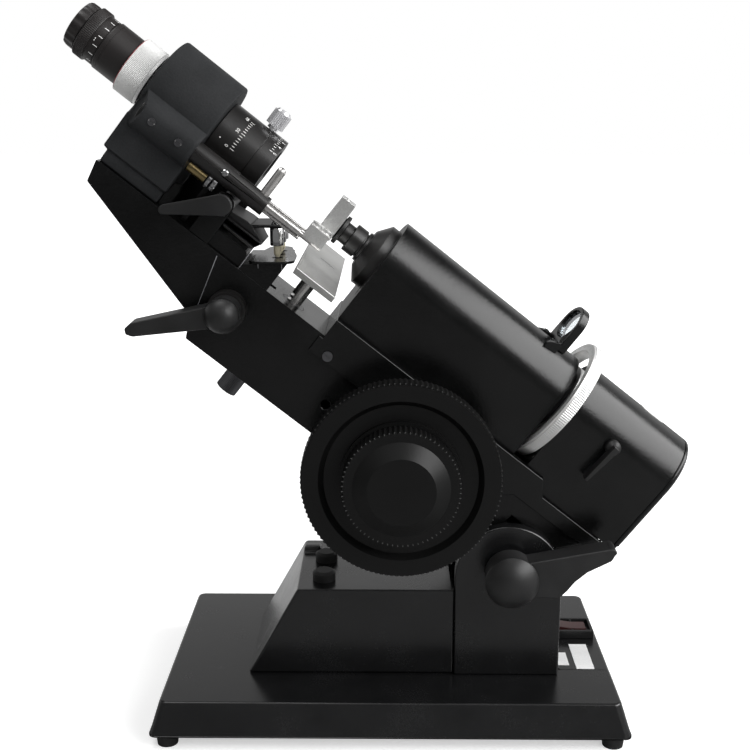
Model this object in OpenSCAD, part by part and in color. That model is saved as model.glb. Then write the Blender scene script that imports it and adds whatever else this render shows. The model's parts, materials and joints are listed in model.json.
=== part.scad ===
// Lensometer: a bench instrument that reads the power of spectacle lenses.
// The base rests on z = 0 with its middle over the origin, and the operator sits at the left.
// The tilting frame is drawn along its optical axis: x runs from the eyepiece to the lamp,
// z is up from the axis, and x = 0 is the middle of the lens table.

/* [Base] */
// Width of the base along its top edge
base_w = 290; // [250:1:330]
// Depth of the base along its top edge
base_d = 166; // [140:1:200]
// Height of the base's side walls
base_h = 21; // [16:0.5:28]
// How far each side wall leans out at the bottom
base_flare = 6.4; // [2:0.2:10]
// Corner radius of the base
base_corner_r = 5; // [2:0.5:12]
// Wall thickness of the base casting
base_wall = 4; // [3:0.5:6]
// Height of a rubber foot
foot_h = 9; // [5:0.5:14]
// Radius of a rubber foot
foot_r = 7.5; // [6:0.5:14]
// Thickness of the bottom plate
bottom_plate_t = 2; // [1:0.5:4]

/* [Pedestal and yoke] */
// Height of the pedestal above the base
pedestal_h = 59; // [45:1:62]
// Depth of the pedestal
pedestal_d = 88; // [80:1:92]
// How far the pedestal's foot reaches left of the pivot
pedestal_foot_reach = 169; // [155:1:185]
// How far the pedestal's top reaches left of the pivot
pedestal_top_reach = 136; // [126:1:150]
// Wall thickness of the pedestal
pedestal_wall = 5; // [3:0.5:8]
// Width of a yoke ear
ear_w = 68.4; // [56:0.1:72]
// Thickness of a yoke ear
ear_t = 9.5; // [7:0.5:12]
// Height of the ear's arc centre above the base
ear_arc_h = 68.5; // [60:0.5:74]
// Gap between the arm and each ear
ear_gap = 1; // [0.5:0.1:2]
// Height of a rubber tilt stop
bumper_h = 6.5; // [4:0.5:8]
// Radius of a rubber tilt stop
bumper_r = 7.5; // [5:0.5:9]

/* [Tilt] */
// Angle of the optical axis below the horizontal
tilt_angle = 38.3; // [30:0.1:50]
// Pivot in from the base's right end
pivot_inset = 69; // [66:0.5:76]
// Height of the pivot above the base
pivot_h = 74; // [70:0.5:80]
// Pivot along the optical axis
pivot_u = 212; // [208:0.5:216]
// Pivot above the optical axis, a negative height
pivot_w = -100; // [-102:0.5:-98]
// Radius of the pivot shaft
pivot_r = 8; // [6:0.5:9]
// Radius of the clamp's domed cap
clamp_cap_r = 16.8; // [12:0.2:18]

/* [Arm] */
// Width of the arm
arm_w = 70; // [66:1:76]
// Top face of the arm, measured from the optical axis
arm_top = -54.4; // [-56:0.2:-53]
// Bottom face of the arm, measured from the optical axis
arm_bottom = -109.7; // [-111:0.1:-108]
// Left end of the arm
arm_left = -147; // [-155:1:-140]
// Wall thickness of the arm casting
arm_wall = 6; // [5:0.5:8]
// Radius of the arm's hub round the pivot
hub_r = 20; // [16:0.5:21]

/* [Collimator body] */
// Outer radius of the lamp house's rounded top
cover_r = 31.7; // [30:0.1:33]
// Outer radius of the collimator cover's rounded top
tunnel_r = 29.4; // [28:0.1:31]
// Wall thickness of the covers
cover_wall = 2.5; // [2:0.1:4]
// Front end of the collimator cover
cover_front = 27; // [25:0.5:30]
// Rear end of the collimator cover
cover_rear = 169.5; // [165:0.5:171]
// Rear end of the lamp house
lamp_rear = 259; // [250:1:270]
// Thickness of the lamp house's end cap
end_cap_t = 4.5; // [4:0.5:10]
// How far the chassis stands out past the covers
chassis_ledge = 5.3; // [4.5:0.1:6]
// Top of the chassis beside the collimator cover
chassis_top = -41.5; // [-43:0.1:-40]
// Top of the chassis beside the lamp house
chassis_low_top = -51; // [-52:0.1:-49]
// Bottom edge of the chassis skirt
chassis_bottom = -67.5; // [-70:0.1:-65]

/* [Head] */
// Outer radius of the head's rounded top
head_r = 32.5; // [30:0.1:34]
// Left end of the head
head_left = -149; // [-155:0.5:-145]
// Right end of the head
head_right = -103; // [-106:0.5:-100]
// Bottom of the head
head_bottom = -45.5; // [-47:0.1:-44]
// Wall thickness of the head
head_wall = 4; // [3:0.5:6]
// Radius of the prism barrel
prism_r = 22.2; // [20:0.2:23]
// Length of the prism barrel in front of the head
prism_len = 39.5; // [34:0.5:42]

/* [Eyepiece] */
// Radius of the eyecup
eyecup_r = 16.5; // [15:0.1:17.5]
// Radius of the eyepiece barrel
eyepiece_r = 16.9; // [15:0.1:17.5]
// Length of the eyepiece, eyecup included
eyepiece_len = 40; // [36:1:46]
// Radius of the silver protractor ring
protractor_r = 19; // [18:0.1:20]
// Length of the silver protractor ring
protractor_len = 17; // [14:0.5:20]

/* [Wheels and ring] */
// Radius of the power wheel
wheel_r = 61.3; // [56:0.1:63]
// Thickness of the power wheel
wheel_t = 14; // [10:0.5:15]
// Radius of the power knob
knob_r = 35.7; // [30:0.1:38]
// Height of the power knob in front of the wheel
knob_h = 20; // [16:0.5:24]
// Power wheel's axle along the optical axis
wheel_u = 114.5; // [110:0.5:116]
// Power wheel's axle above the optical axis, a negative height
wheel_w = -89; // [-89.5:0.1:-87.5]
// Outer radius of the axis ring
ring_r = 43.2; // [42:0.1:45]
// Inner radius of the axis ring
ring_inner_r = 37; // [35:0.1:38]
// Width of the axis ring's rim
ring_t = 8; // [7:0.5:12]

/* [Lens table and holder] */
// Depth of the lens table, front to back
table_d = 167; // [120:1:180]
// Width of the lens table along the axis
table_w = 28; // [24:0.5:29]
// Thickness of the lens table
table_t = 4; // [3:0.5:5]
// Top of the lens table, measured from the optical axis
table_top = -23.5; // [-26:0.1:-22]
// How far the lens table travels down
table_travel = 22; // [15:0.5:22]
// Radius of the lens table's shaft
shaft_r = 4.9; // [4.5:0.1:5.2]
// Depth position of the lens table's shaft
shaft_y = -10; // [-12:0.5:-8]
// How far the lens holder pulls back
holder_travel = 15; // [8:1:20]
// Radius of the lens holder's rod
holder_rod_r = 2; // [1.5:0.1:2.5]
// Radius of the lens holder's sleeve
sleeve_r = 6.6; // [6:0.1:7]
// Depth position of the lens holder's sleeve
sleeve_y = -34; // [-36:0.5:-33]
// Height of the lens holder's sleeve, measured from the optical axis
sleeve_w = -13.6; // [-14.5:0.1:-12.5]

/* [Hidden] */
$fn = 64;
hull_fn = 32;

// Running and seating clearances
running_gap = 0.05;
seat_gap = 0.05;
body_gap = 0.4;
plate_t = 3;
screw_r = 2;
screw_head_r = 3.2;
screw_head_h = 1.6;

// Base and yoke
base_bottom = foot_h;
base_top = foot_h + base_h;
foot_inset = 7.3;
foot_x = base_w / 2 - foot_inset + base_flare / 2;
foot_y = base_d / 2 - foot_inset + base_flare / 2;
recess_depth = 1;
recess_front = -37;
ear_inner = arm_w / 2 + ear_gap;
ear_outer = ear_inner + ear_t;
ear_r = ear_w / 2;
saddle_h = 44;
pivot_z = base_top + pivot_h;
bumper_rows = [-26.5, 6];
peg_r = 3;
peg_h = 3;
base_right = base_w / 2;
pivot_x = base_right - pivot_inset;
pedestal_foot_x = pivot_x - pedestal_foot_reach;
pedestal_top_x = pivot_x - pedestal_top_reach;
pedestal_right = pivot_x + ear_r;
saddle_left = pivot_x - ear_r;
bumper_x = pedestal_top_x + 16.5;
recess_left = pedestal_right + 1.8;
box_w = 28;
box_d = 22;
box_h = 6;
box_x = base_right - box_w - 2;
box_y = 9.5;
rocker_w = 20;
rocker_d = 11;
clamp_back = -ear_outer - 1.5;
clamp_front = clamp_back - 19;
clamp_cap_h = 8.5;

// Arm, chassis and covers
arm_half = arm_w / 2;
chassis_half = cover_r + chassis_ledge;
chassis_front = 26.7;
chassis_rear = 249;
chassis_step = 193;
chassis_rear_bottom = -61;
deck_inner = 26;
chassis_screws = [36, 150];
chassis_screw_w = -63.3;
arm_deep_end = 193;
arm_shallow_bottom = -73;
arm_rear_end = 230;
arm_heel = 11;
pocket_left = -62;
pocket_right = 170;
rear_cover_t = 3;
cover_screws = [[-65, -62], [-65, -83.5], [0, -62], [0, -103.5], [174, -72], [174, -102.5]];
slot_half = 7;

// Optical parts
nose_tip = -2.4;
telescope_r = 15;
tube_reach = 8;
guide_rail_r = 3;
guide_rail_y = 18;
guide_rail_w = -22;
ring_front = cover_rear + 1.5;
lamp_front = ring_front + ring_t + 1;
ring_hub_r = 26;
ring_hub_bore = 22;

// Gears: one module for the power rack and one for the table rack
pressure = 20;
power_module = 0.8;
power_teeth = 18;
power_pitch_r = power_module * power_teeth / 2;
power_rack_w = wheel_w + power_pitch_r;
table_module = 1;
table_teeth = 54;
table_pitch_r = table_module * table_teeth / 2;
table_rack_u = -shaft_r + 1.1;
lever_u = table_rack_u - table_pitch_r;
lever_w = -78.1;
gear_play = 0.08;

// Marking device
marker_u = -71.4;
marker_w = -28.7;
marker_rows = [-17, 0, 17];
nib_u = -25.7;
nib_w = -36.5;
pad_level = 0.4;
marker_shaft_r = 4;

// Optical frame helpers
module tilting() {
    translate([pivot_x, 0, pivot_z]) rotate([0, tilt_angle, 0]) translate([-pivot_u, 0, -pivot_w])
        children();
}

module block(x0, x1, y0, y1, z0, z1) {
    translate([x0, y0, z0]) cube([x1 - x0, y1 - y0, z1 - z0]);
}

module rod_x(x0, x1, r, y = 0, z = 0) {
    translate([x0, y, z]) rotate([0, 90, 0]) cylinder(r = r, h = x1 - x0);
}

module cone_x(x0, x1, r0, r1) {
    translate([x0, 0, 0]) rotate([0, 90, 0]) cylinder(r1 = r0, r2 = r1, h = x1 - x0);
}

module rod_y(y0, y1, r, x = 0, z = 0) {
    translate([x, y1, z]) rotate([90, 0, 0]) cylinder(r = r, h = y1 - y0);
}

module rod_z(z0, z1, r, x = 0, y = 0) {
    translate([x, y, z0]) cylinder(r = r, h = z1 - z0);
}

// A side view outline, drawn in x and z, given a depth in y
module side_plate(y0, y1) {
    translate([0, y1, 0]) rotate([90, 0, 0]) linear_extrude(height = y1 - y0) children();
}

// An end view outline, drawn in y and z, given a length in x
module end_profile(x0, x1) {
    translate([x0, 0, 0]) rotate([90, 0, 90]) linear_extrude(height = x1 - x0) children();
}

module arch_2d(r, bottom) {
    union() {
        circle(r = r);
        translate([-r, bottom]) square([2 * r, -bottom]);
    }
}

module rounded_2d(w, d, r) {
    hull() for (sx = [-1, 1], sy = [-1, 1])
        translate([sx * (w / 2 - r), sy * (d / 2 - r)]) circle(r = r, $fn = hull_fn);
}

// A screw head that stands on a face, with a slot across it
module screw_head(r = screw_head_r, h = screw_head_h) {
    difference() {
        cylinder(r = r, h = h);
        translate([-r, -0.4, h - 0.7]) cube([2 * r, 0.8, 1]);
    }
}

// The same head on a shank that goes down into the part
module screw(shank) {
    union() {
        screw_head();
        translate([0, 0, -shank]) cylinder(r = screw_r, h = shank + 0.1);
    }
}

// A round part with straight knurling along its axis, as one outline of small teeth
module knurled(r, h, teeth, depth = 0.5) {
    points = [for (i = [0 : teeth * 2 - 1])
        let (a = 180 * i / teeth, rr = (i % 2 == 0) ? r : r - depth) [rr * cos(a), rr * sin(a)]];
    linear_extrude(height = h) polygon(points);
}

// Involute gear outline: teeth from first to last, the tooth 0 pointing along +x
function flank_turn(base_r, r) = let (a = acos(base_r / r)) tan(a) * 180 / PI - a;

function tooth_points(mod, teeth, play, mid) =
    let (
        pr = mod * teeth / 2,
        br = pr * cos(pressure),
        out_r = pr + 0.9 * mod,
        root_r = pr - 1.15 * mod,
        low_r = max(br, root_r),
        half = 90 / teeth - play / pr * 180 / PI + flank_turn(br, pr),
        steps = 4
    )
    concat(
        [[root_r * cos(mid - half), root_r * sin(mid - half)]],
        [for (i = [0 : steps]) let (r = low_r + (out_r - low_r) * i / steps,
            a = mid - half + flank_turn(br, r))
            [r * cos(a), r * sin(a)]],
        [for (i = [steps : -1 : 0]) let (r = low_r + (out_r - low_r) * i / steps,
            a = mid + half - flank_turn(br, r))
            [r * cos(a), r * sin(a)]],
        [[root_r * cos(mid + half), root_r * sin(mid + half)]]
    );

module gear_2d(mod, teeth, first, last, play) {
    points = [for (k = [first : last]) each tooth_points(mod, teeth, play, 360 * k / teeth)];
    polygon(last - first + 1 == teeth ? points : concat([[0, 0]], points));
}

// Rack outline: pitch line on y = 0, teeth pointing down, a gap at x = 0
module rack_2d(mod, half_teeth, back, play) {
    pitch = PI * mod;
    tip = 0.9 * mod;
    root = 1.15 * mod;
    half = pitch / 4 - play;
    lean = tan(pressure);
    points = concat(
        [[-(half_teeth + 0.5) * pitch, back], [-(half_teeth + 0.5) * pitch, root]],
        [for (k = [-half_teeth : half_teeth - 1]) let (c = (k + 0.5) * pitch) each [
            [c - half - root * lean, root], [c - half + tip * lean, -tip],
            [c + half - tip * lean, -tip], [c + half + root * lean, root]]],
        [[(half_teeth + 0.5) * pitch, root], [(half_teeth + 0.5) * pitch, back]]
    );
    polygon(points);
}

// Base group

module base_slab(z0, z1, shrink) {
    lean = base_flare * (base_top - z0) / base_h;
    lean_top = base_flare * (base_top - z1) / base_h;
    hull() {
        translate([0, 0, z0]) linear_extrude(height = 0.01)
            rounded_2d(base_w + 2 * lean - shrink, base_d + 2 * lean - shrink, base_corner_r);
        translate([0, 0, z1 - 0.01]) linear_extrude(height = 0.01)
            rounded_2d(base_w + 2 * lean_top - shrink, base_d + 2 * lean_top - shrink, base_corner_r);
    }
}

module base_casting() {
    color([0.06, 0.06, 0.065]) difference() {
        base_slab(base_bottom, base_top, 0);
        base_slab(base_bottom - 1, base_top - base_wall, 2 * base_wall);
        block(recess_left, base_w, recess_front, base_d, base_top - recess_depth, base_top + 1);
        block(inlet_x - inlet_w / 2, inlet_x + inlet_w / 2, base_d / 2 - 12, base_d, inlet_z,
            inlet_z + inlet_h);
    }
}

module bottom_plate() {
    color([0.16, 0.16, 0.17]) difference() {
        base_slab(base_bottom, base_bottom + bottom_plate_t, 2 * base_wall + 0.6);
        for (sx = [-1, 1], sy = [-1, 1])
            rod_z(base_bottom - 1, base_bottom + 8, screw_r + running_gap, sx * base_screw_x,
                sy * base_screw_y);
    }
}

module rubber_feet() {
    color([0.05, 0.05, 0.05]) for (sx = [-1, 1], sy = [-1, 1]) translate([sx * foot_x, sy * foot_y, 0])
        cylinder(r1 = foot_r - 1, r2 = foot_r, h = foot_h);
}

base_screw_x = base_w / 2 - 45;
base_screw_y = base_d / 2 - 20;

module base_screws() {
    color([0.6, 0.6, 0.62]) for (sx = [-1, 1], sy = [-1, 1])
        translate([sx * base_screw_x, sy * base_screw_y, base_bottom]) rotate([180, 0, 0])
            screw(bottom_plate_t + 4);
}

module pedestal_2d() {
    polygon([[pedestal_foot_x, base_top], [pedestal_top_x, base_top + pedestal_h],
        [saddle_left, base_top + pedestal_h], [saddle_left, base_top + saddle_h],
        [pedestal_right, base_top + saddle_h], [pedestal_right, base_top]]);
}

module pedestal() {
    inner = pedestal_wall;
    color([0.06, 0.06, 0.065]) difference() {
        union() {
            side_plate(-pedestal_d / 2, pedestal_d / 2) pedestal_2d();
            block(pedestal_top_x, pedestal_top_x + 12, 20, 29, base_top + pedestal_h - 1,
                base_top + pedestal_h + 4);
        }
        side_plate(-pedestal_d / 2 + inner, pedestal_d / 2 - inner) polygon([
            [pedestal_foot_x + 2 * inner, base_top - 1], [pedestal_top_x + inner,
                base_top + pedestal_h - inner],
            [saddle_left - inner, base_top + pedestal_h - inner],
            [saddle_left - inner, base_top + saddle_h - inner],
            [pedestal_right - inner, base_top + saddle_h - inner], [pedestal_right - inner, base_top - 1]]);
        for (side = [-1, 1])
            block(saddle_left, pedestal_right + 1, side > 0 ? ear_inner : -pedestal_d,
                side > 0 ? pedestal_d : -ear_inner, base_top - 1, base_top + saddle_h + 1);
        for (y = bumper_rows)
            rod_z(base_top + pedestal_h - peg_h - body_gap, base_top + pedestal_h + 1, peg_r + seat_gap,
                bumper_x, y);
    }
}

module ear_2d() {
    difference() {
        union() {
            translate([pivot_x - ear_r, base_top]) square([ear_w, ear_arc_h]);
            translate([pivot_x, base_top + ear_arc_h]) circle(r = ear_r);
        }
        translate([pivot_x, pivot_z]) circle(r = pivot_r + seat_gap);
    }
}

module yoke_ears() {
    color([0.06, 0.06, 0.065]) union() {
        side_plate(-ear_outer, -ear_inner) ear_2d();
        side_plate(ear_inner, ear_outer) ear_2d();
    }
}

module tilt_stops() {
    color([0.09, 0.09, 0.09]) for (y = bumper_rows) translate([bumper_x, y, base_top + pedestal_h]) union() {
        translate([0, 0, -peg_h]) cylinder(r = peg_r, h = peg_h + 1);
        cylinder(r = bumper_r, h = bumper_h - 1.5);
        translate([0, 0, bumper_h - 1.5]) cylinder(r1 = bumper_r, r2 = bumper_r - 2, h = 1.5);
    }
}

module blank_plates() {
    plate_z = base_top - recess_depth;
    color([0.93, 0.93, 0.93]) union() {
        block(base_right - 21, base_right - 9, -36, 0.5, plate_z, plate_z + 0.5);
        block(recess_left, recess_left + 8, -30, -12, plate_z, plate_z + 0.5);
    }
}

supply_w = 60;
supply_d = 60;
supply_h = 12;
supply_tab = 5;

module power_supply() {
    floor_z = base_bottom + bottom_plate_t;
    left = -base_right + 25;
    color([0.35, 0.36, 0.38]) union() {
        block(left, left + supply_w, -supply_d / 2, supply_d / 2, floor_z, floor_z + supply_h);
        for (x = [left - supply_tab, left + supply_w])
            block(x, x + supply_tab, -8, 8, floor_z, floor_z + 3);
    }
}

module switch_box() {
    z0 = base_top - recess_depth;
    color([0.05, 0.05, 0.055]) difference() {
        block(box_x, box_x + box_w, box_y, box_y + box_d, z0, z0 + box_h);
        block(box_x + 2, box_x + box_w - 2, box_y + 2, box_y + box_d - 2, z0 + 2.5, z0 + box_h + 1);
        block(box_x + box_w / 2 - rocker_w / 2 - body_gap, box_x + box_w / 2 + rocker_w / 2 + body_gap,
            box_y + box_d / 2 - rocker_d / 2 - body_gap, box_y + box_d / 2 + rocker_d / 2 + body_gap,
            z0 + 1, z0 + box_h + 1);
    }
    color([0.05, 0.05, 0.055]) rod_y(box_y + 1, box_y + box_d - 1, rocker_pin_r, rocker_x, rocker_z);
}

rocker_x = box_x + box_w / 2;
rocker_y = box_y + box_d / 2;
rocker_z = base_top - recess_depth + 4.2;
rocker_pin_r = 0.8;

module power_rocker() {
    color([0.45, 0.03, 0.03]) translate([rocker_x, rocker_y, rocker_z]) difference() {
        union() {
            side_plate(-rocker_d / 2, rocker_d / 2) polygon([
                [-rocker_w / 2 + 0.5, -0.6], [-rocker_w / 2 + 0.5, 2.6], [0, 1.2],
                [rocker_w / 2 - 0.5, 1.2], [rocker_w / 2 - 0.5, -0.6], [0, -1.6]]);
        }
        rod_y(-rocker_d, rocker_d, rocker_pin_r + running_gap);
    }
}

inlet_x = 40;
inlet_w = 30;
inlet_h = 13;
inlet_z = base_bottom + 4;

module power_inlet() {
    y1 = base_d / 2 + base_flare - 1.2;
    color([0.04, 0.04, 0.04]) difference() {
        block(inlet_x - inlet_w / 2 + 0.1, inlet_x + inlet_w / 2 - 0.1, base_d / 2 - 11.9, y1,
            inlet_z + 0.1, inlet_z + inlet_h - 0.1);
        block(inlet_x - inlet_w / 2 + 3, inlet_x + inlet_w / 2 - 3, base_d / 2 - 8, y1 + 1,
            inlet_z + 2.2, inlet_z + inlet_h - 2.2);
        for (dx = [-6, 0, 6]) rod_y(base_d / 2 - 12.5, base_d / 2, 0.9, inlet_x + dx, inlet_z + inlet_h / 2);
    }
}

module pivot_shaft() {
    color([0.7, 0.7, 0.72]) translate([pivot_x, 0, pivot_z]) union() {
        rod_y(clamp_back, ear_outer + 3, pivot_r);
        rod_y(ear_outer, ear_outer + 5, pivot_r + 4);
        rod_y(clamp_front - 2, clamp_back, pivot_r - 3);
    }
}

// Tilt clamp group

module clamp_lever_2d() {
    union() {
        circle(r = clamp_cap_r - 1);
        polygon([[-4, clamp_cap_r - 1.6], [10, 12.5], [61, 22], [63.6, 21.4], [64.6, 19.3], [61.6, 14],
            [47, 6.6], [39.2, -0.1], [34.7, -5.9], [29.9, -10.8], [12, -10], [0, -5]]);
        translate([62.2, 19.6]) circle(r = 2.4);
    }
}

module clamp_lever() {
    color([0.07, 0.07, 0.075]) translate([pivot_x, 0, pivot_z]) difference() {
        union() {
            side_plate(clamp_front, clamp_back - 3) clamp_lever_2d();
            rod_y(clamp_back - 3.5, clamp_back, clamp_cap_r - 4);
        }
        rod_y(clamp_front - 1, clamp_back + 1, pivot_r - 3 + running_gap);
    }
}

module clamp_cap() {
    rim = clamp_cap_r;
    ball_r = (rim * rim + clamp_cap_h * clamp_cap_h) / (2 * clamp_cap_h);
    color([0.12, 0.12, 0.125]) translate([pivot_x, clamp_front, pivot_z]) difference() {
        rotate([90, 0, 0]) union() {
            cylinder(r = rim, h = 1.5);
            translate([0, 0, 1.5]) intersection() {
                translate([0, 0, clamp_cap_h - ball_r]) sphere(r = ball_r);
                cylinder(r = rim, h = clamp_cap_h);
            }
        }
        rod_y(-2 - running_gap, 1, pivot_r - 3 + running_gap);
    }
}

// Arm and chassis group

module arm_2d() {
    union() {
        polygon([[arm_left, arm_top], [arm_left + 3, arm_top - 14], [arm_left + 97, -95.5],
            [arm_left + 105, arm_bottom + 4], [arm_left + 107, arm_bottom], [pivot_u, arm_bottom],
            [pivot_u, pivot_w], [arm_deep_end, pivot_w], [arm_deep_end, arm_shallow_bottom],
            [arm_rear_end, arm_shallow_bottom], [arm_rear_end + arm_heel, chassis_rear_bottom + 1.1],
            [arm_rear_end, chassis_rear_bottom - body_gap], [arm_rear_end, arm_top]]);
        translate([pivot_u, pivot_w]) circle(r = hub_r);
    }
}

module arm_casting() {
    back = arm_half + 1;
    color([0.07, 0.07, 0.075]) tilting() difference() {
        side_plate(-arm_half, arm_half) arm_2d();
        side_plate(-arm_half + arm_wall, back) polygon([[pocket_left, arm_top - arm_wall], [pocket_left,
            -85.8],
            [-48, -89.6], [-36.5, arm_bottom + arm_wall], [-8 - arm_wall, arm_bottom + arm_wall],
            [-8 - arm_wall, arm_top - arm_wall]]);
        block(-8 - arm_wall - 1, 8 + arm_wall, -arm_half + arm_wall, back, -99, -66);
        intersection() {
            rod_y(shaft_y - 3.8, shaft_y + 3.8, table_pitch_r + 1.7, lever_u, lever_w);
            block(-21.5, -1, shaft_y - 4, shaft_y + 4, arm_bottom + arm_wall, arm_top + 1);
        }
        block(8 + arm_wall, pocket_right, -arm_half + arm_wall, back, arm_bottom + arm_wall,
            arm_top - arm_wall);
        block(wheel_u - 55, wheel_u + 55, -slot_half, slot_half, arm_top - arm_wall - 1, arm_top + 1);
        rod_z(arm_bottom - 1, arm_top + 1, guide_r + seat_gap, 0, shaft_y);
        rod_y(-arm_half - 1, -arm_half + arm_wall + 1, bush_r + seat_gap, lever_u, lever_w);
        rod_y(-arm_half - 1, -arm_half + arm_wall + 1, bearing_r + seat_gap, wheel_u, wheel_w);
        rod_y(-arm_half - 1, back, pivot_r + running_gap, pivot_u, pivot_w);
        rod_y(-arm_half - 1, -arm_half + arm_wall + 1, 3, 54.4, -89.3);
        side_plate(arm_half - rear_cover_t, back) rear_cover_2d(0.2);
    }
}

rear_cover_left = -70;
rear_cover_right = arm_deep_end - 15;
rear_cover_rim = 3.4;

module rear_cover_2d(grow) {
    left = rear_cover_left - grow;
    right = rear_cover_right + grow;
    high = arm_top - rear_cover_rim + grow;
    low = arm_bottom + rear_cover_rim - grow;
    polygon([[left, high], [left, arm_bottom + 23.1 - grow], [left + 18, arm_bottom + 17.9 - grow],
        [left + 26, arm_bottom + 7.7 - grow], [left + 28, low], [right, low], [right, high]]);
}

module arm_rear_cover() {
    color([0.08, 0.08, 0.085]) tilting() difference() {
        side_plate(arm_half - rear_cover_t, arm_half) rear_cover_2d(0);
        for (p = cover_screws) rod_y(arm_half - 5, arm_half + 1, screw_r + running_gap, p[0], p[1]);
    }
}

module chassis() {
    color([0.07, 0.07, 0.075]) tilting() difference() {
        union() {
            side_plate(-chassis_half, chassis_half) polygon([
                [chassis_front, chassis_top], [chassis_step, chassis_top],
                [chassis_step + 7.5, chassis_low_top], [chassis_rear, chassis_low_top],
                [chassis_rear, arm_top - 4], [arm_rear_end, chassis_rear_bottom],
                [chassis_step - 8, chassis_rear_bottom], [chassis_step - 16, chassis_bottom],
                [chassis_front, chassis_bottom]]);
            block(chassis_front - 2.7, chassis_front + 1, -chassis_half, chassis_half, chassis_bottom, -56);
        }
        block(chassis_front - 5, arm_rear_end, -arm_half, arm_half, chassis_bottom - 10, arm_top);
        block(chassis_front + 10, ring_front + ring_t + 2, -deck_inner, deck_inner, arm_top - 1,
            chassis_top + 1);
        for (x = chassis_screws) rod_y(-chassis_half - 1, chassis_half + 1, screw_r + running_gap, x,
            chassis_screw_w);
        block(chassis_step + 5.5, chassis_rear - 12, -deck_inner, deck_inner, arm_top - 1, chassis_top + 1);
    }
}

// A cover with a rounded top and straight sides that stands on the chassis
module cover_shell(x0, x1, r, bottom, wall) {
    difference() {
        end_profile(x0, x1) arch_2d(r, bottom);
        end_profile(x0 - 1, x1 + 1) arch_2d(r - wall, bottom - 1);
    }
}

module collimator_cover() {
    color([0.06, 0.06, 0.065]) tilting() cover_shell(cover_front, cover_rear, tunnel_r, chassis_top,
        cover_wall);
}

module lamp_house() {
    color([0.06, 0.06, 0.065]) tilting() difference() {
        union() {
            cover_shell(lamp_front, lamp_rear, cover_r, chassis_low_top, cover_wall);
            end_profile(lamp_front, lamp_front + 2.5) arch_2d(cover_r, chassis_low_top);
        }
        side_plate(-cover_r - 1, cover_r + 1) polygon([[lamp_front - 1, chassis_low_top - 1],
            [lamp_front - 1, chassis_top], [chassis_step, chassis_top], [chassis_step + 7.5, chassis_low_top],
            [chassis_step + 7.5, chassis_low_top - 1]]);
        rod_x(lamp_front - 1, lamp_front + 4, ring_hub_bore - 4);
        rod_y(-cover_r - 1, 0, filter_shaft_r + running_gap, filter_u, filter_w);
    }
}

module end_cap() {
    color([0.06, 0.06, 0.065]) tilting() difference() {
        union() {
            end_profile(lamp_rear, lamp_rear + end_cap_t - 1.6) arch_2d(cover_r, chassis_low_top + 1);
            end_profile(lamp_rear + end_cap_t - 1.6, lamp_rear + end_cap_t)
                arch_2d(cover_r - 2, chassis_low_top + 3);
        }
        rod_x(lamp_rear - 1, lamp_rear + 3, lamp_socket_r + seat_gap);
    }
}

module top_plate() {
    color([0.9, 0.9, 0.9]) tilting() intersection() {
        difference() {
            rod_x(200, 260, cover_r + 0.4);
            rod_x(199, 261, cover_r);
        }
        translate([231, 0, 0]) linear_extrude(height = 60)
            union() {
                square([10, 9], center = true);
                for (s = [-1, 1]) translate([s * 5, 0]) circle(r = 4.5);
            }
    }
}

module nosepiece() {
    color([0.05, 0.05, 0.055]) tilting() difference() {
        union() {
            end_profile(cover_front, cover_front + plate_t)
                arch_2d(tunnel_r - cover_wall - 0.1, chassis_top + 0.1);
            rod_x(cover_front - 6, cover_front, 22.2);
            cone_x(cover_front - 12.5, cover_front - 6, 13.2, 22.2);
            rod_x(cover_front - 14.5, cover_front - 12.5, 10.5);
            rod_x(11, cover_front - 14, 8.5);
            rod_x(3, 11.2, 9.75);
            rod_x(nose_tip, 3, 7);
        }
        rod_x(nose_tip - 1, cover_front + plate_t + 1, 4);
        rod_x(15, cover_front + plate_t + 1, lens_r + seat_gap);
        for (s = [-1, 1]) rod_x(cover_front - 1, cover_front + plate_t + 1, guide_rail_r + seat_gap,
            s * guide_rail_y, guide_rail_w);
    }
}

lens_r = 9;

module collimator_lens() {
    color([0.7, 0.85, 0.9, 0.35]) tilting() rod_x(15.2, 20, lens_r);
}

// The bulkhead behind the collimator cover, with the carriage's rails and the tube for the axis ring
module rear_bulkhead() {
    color([0.5, 0.5, 0.52]) tilting() difference() {
        union() {
            end_profile(cover_rear - 5, cover_rear)
                arch_2d(tunnel_r - cover_wall - 0.1, chassis_top + 0.1);
            rod_x(cover_rear - 0.1, lamp_front, ring_hub_bore - running_gap);
            for (s = [-1, 1]) rod_x(cover_front + 0.2, cover_rear - 1, guide_rail_r, s * guide_rail_y,
                guide_rail_w);
        }
        rod_x(cover_rear - 6, lamp_front + 1, 15);
    }
}

lamp_socket_r = 10;

module lamp() {
    color([0.85, 0.85, 0.8]) tilting() union() {
        rod_x(lamp_rear - 14, lamp_rear + 3, lamp_socket_r);
        translate([lamp_rear - 22, 0, 0]) sphere(r = 9);
        rod_x(lamp_rear - 20, lamp_rear - 13, 6);
    }
}

module frame_screws() {
    color([0.25, 0.25, 0.26]) tilting() {
        for (x = chassis_screws, side = [-1, 1]) translate([x, side * chassis_half, chassis_screw_w])
            rotate([-90 * side, 0, 0]) screw(chassis_half - arm_half - 0.1);
        for (x = [-132.2, -112.9]) translate([x, fairing_front, -14.6]) rotate([90, 0,
            0]) screw_head(2.4, 0.8);
        for (p = cover_screws) translate([p[0], arm_half, p[1]]) rotate([-90, 0,
            0]) screw(rear_cover_t - 0.1);
    }
}

// Guides and bearings in the arm

guide_r = 8;
bush_r = 9;
bearing_r = 14;
cap_bottom = -127;

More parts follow.
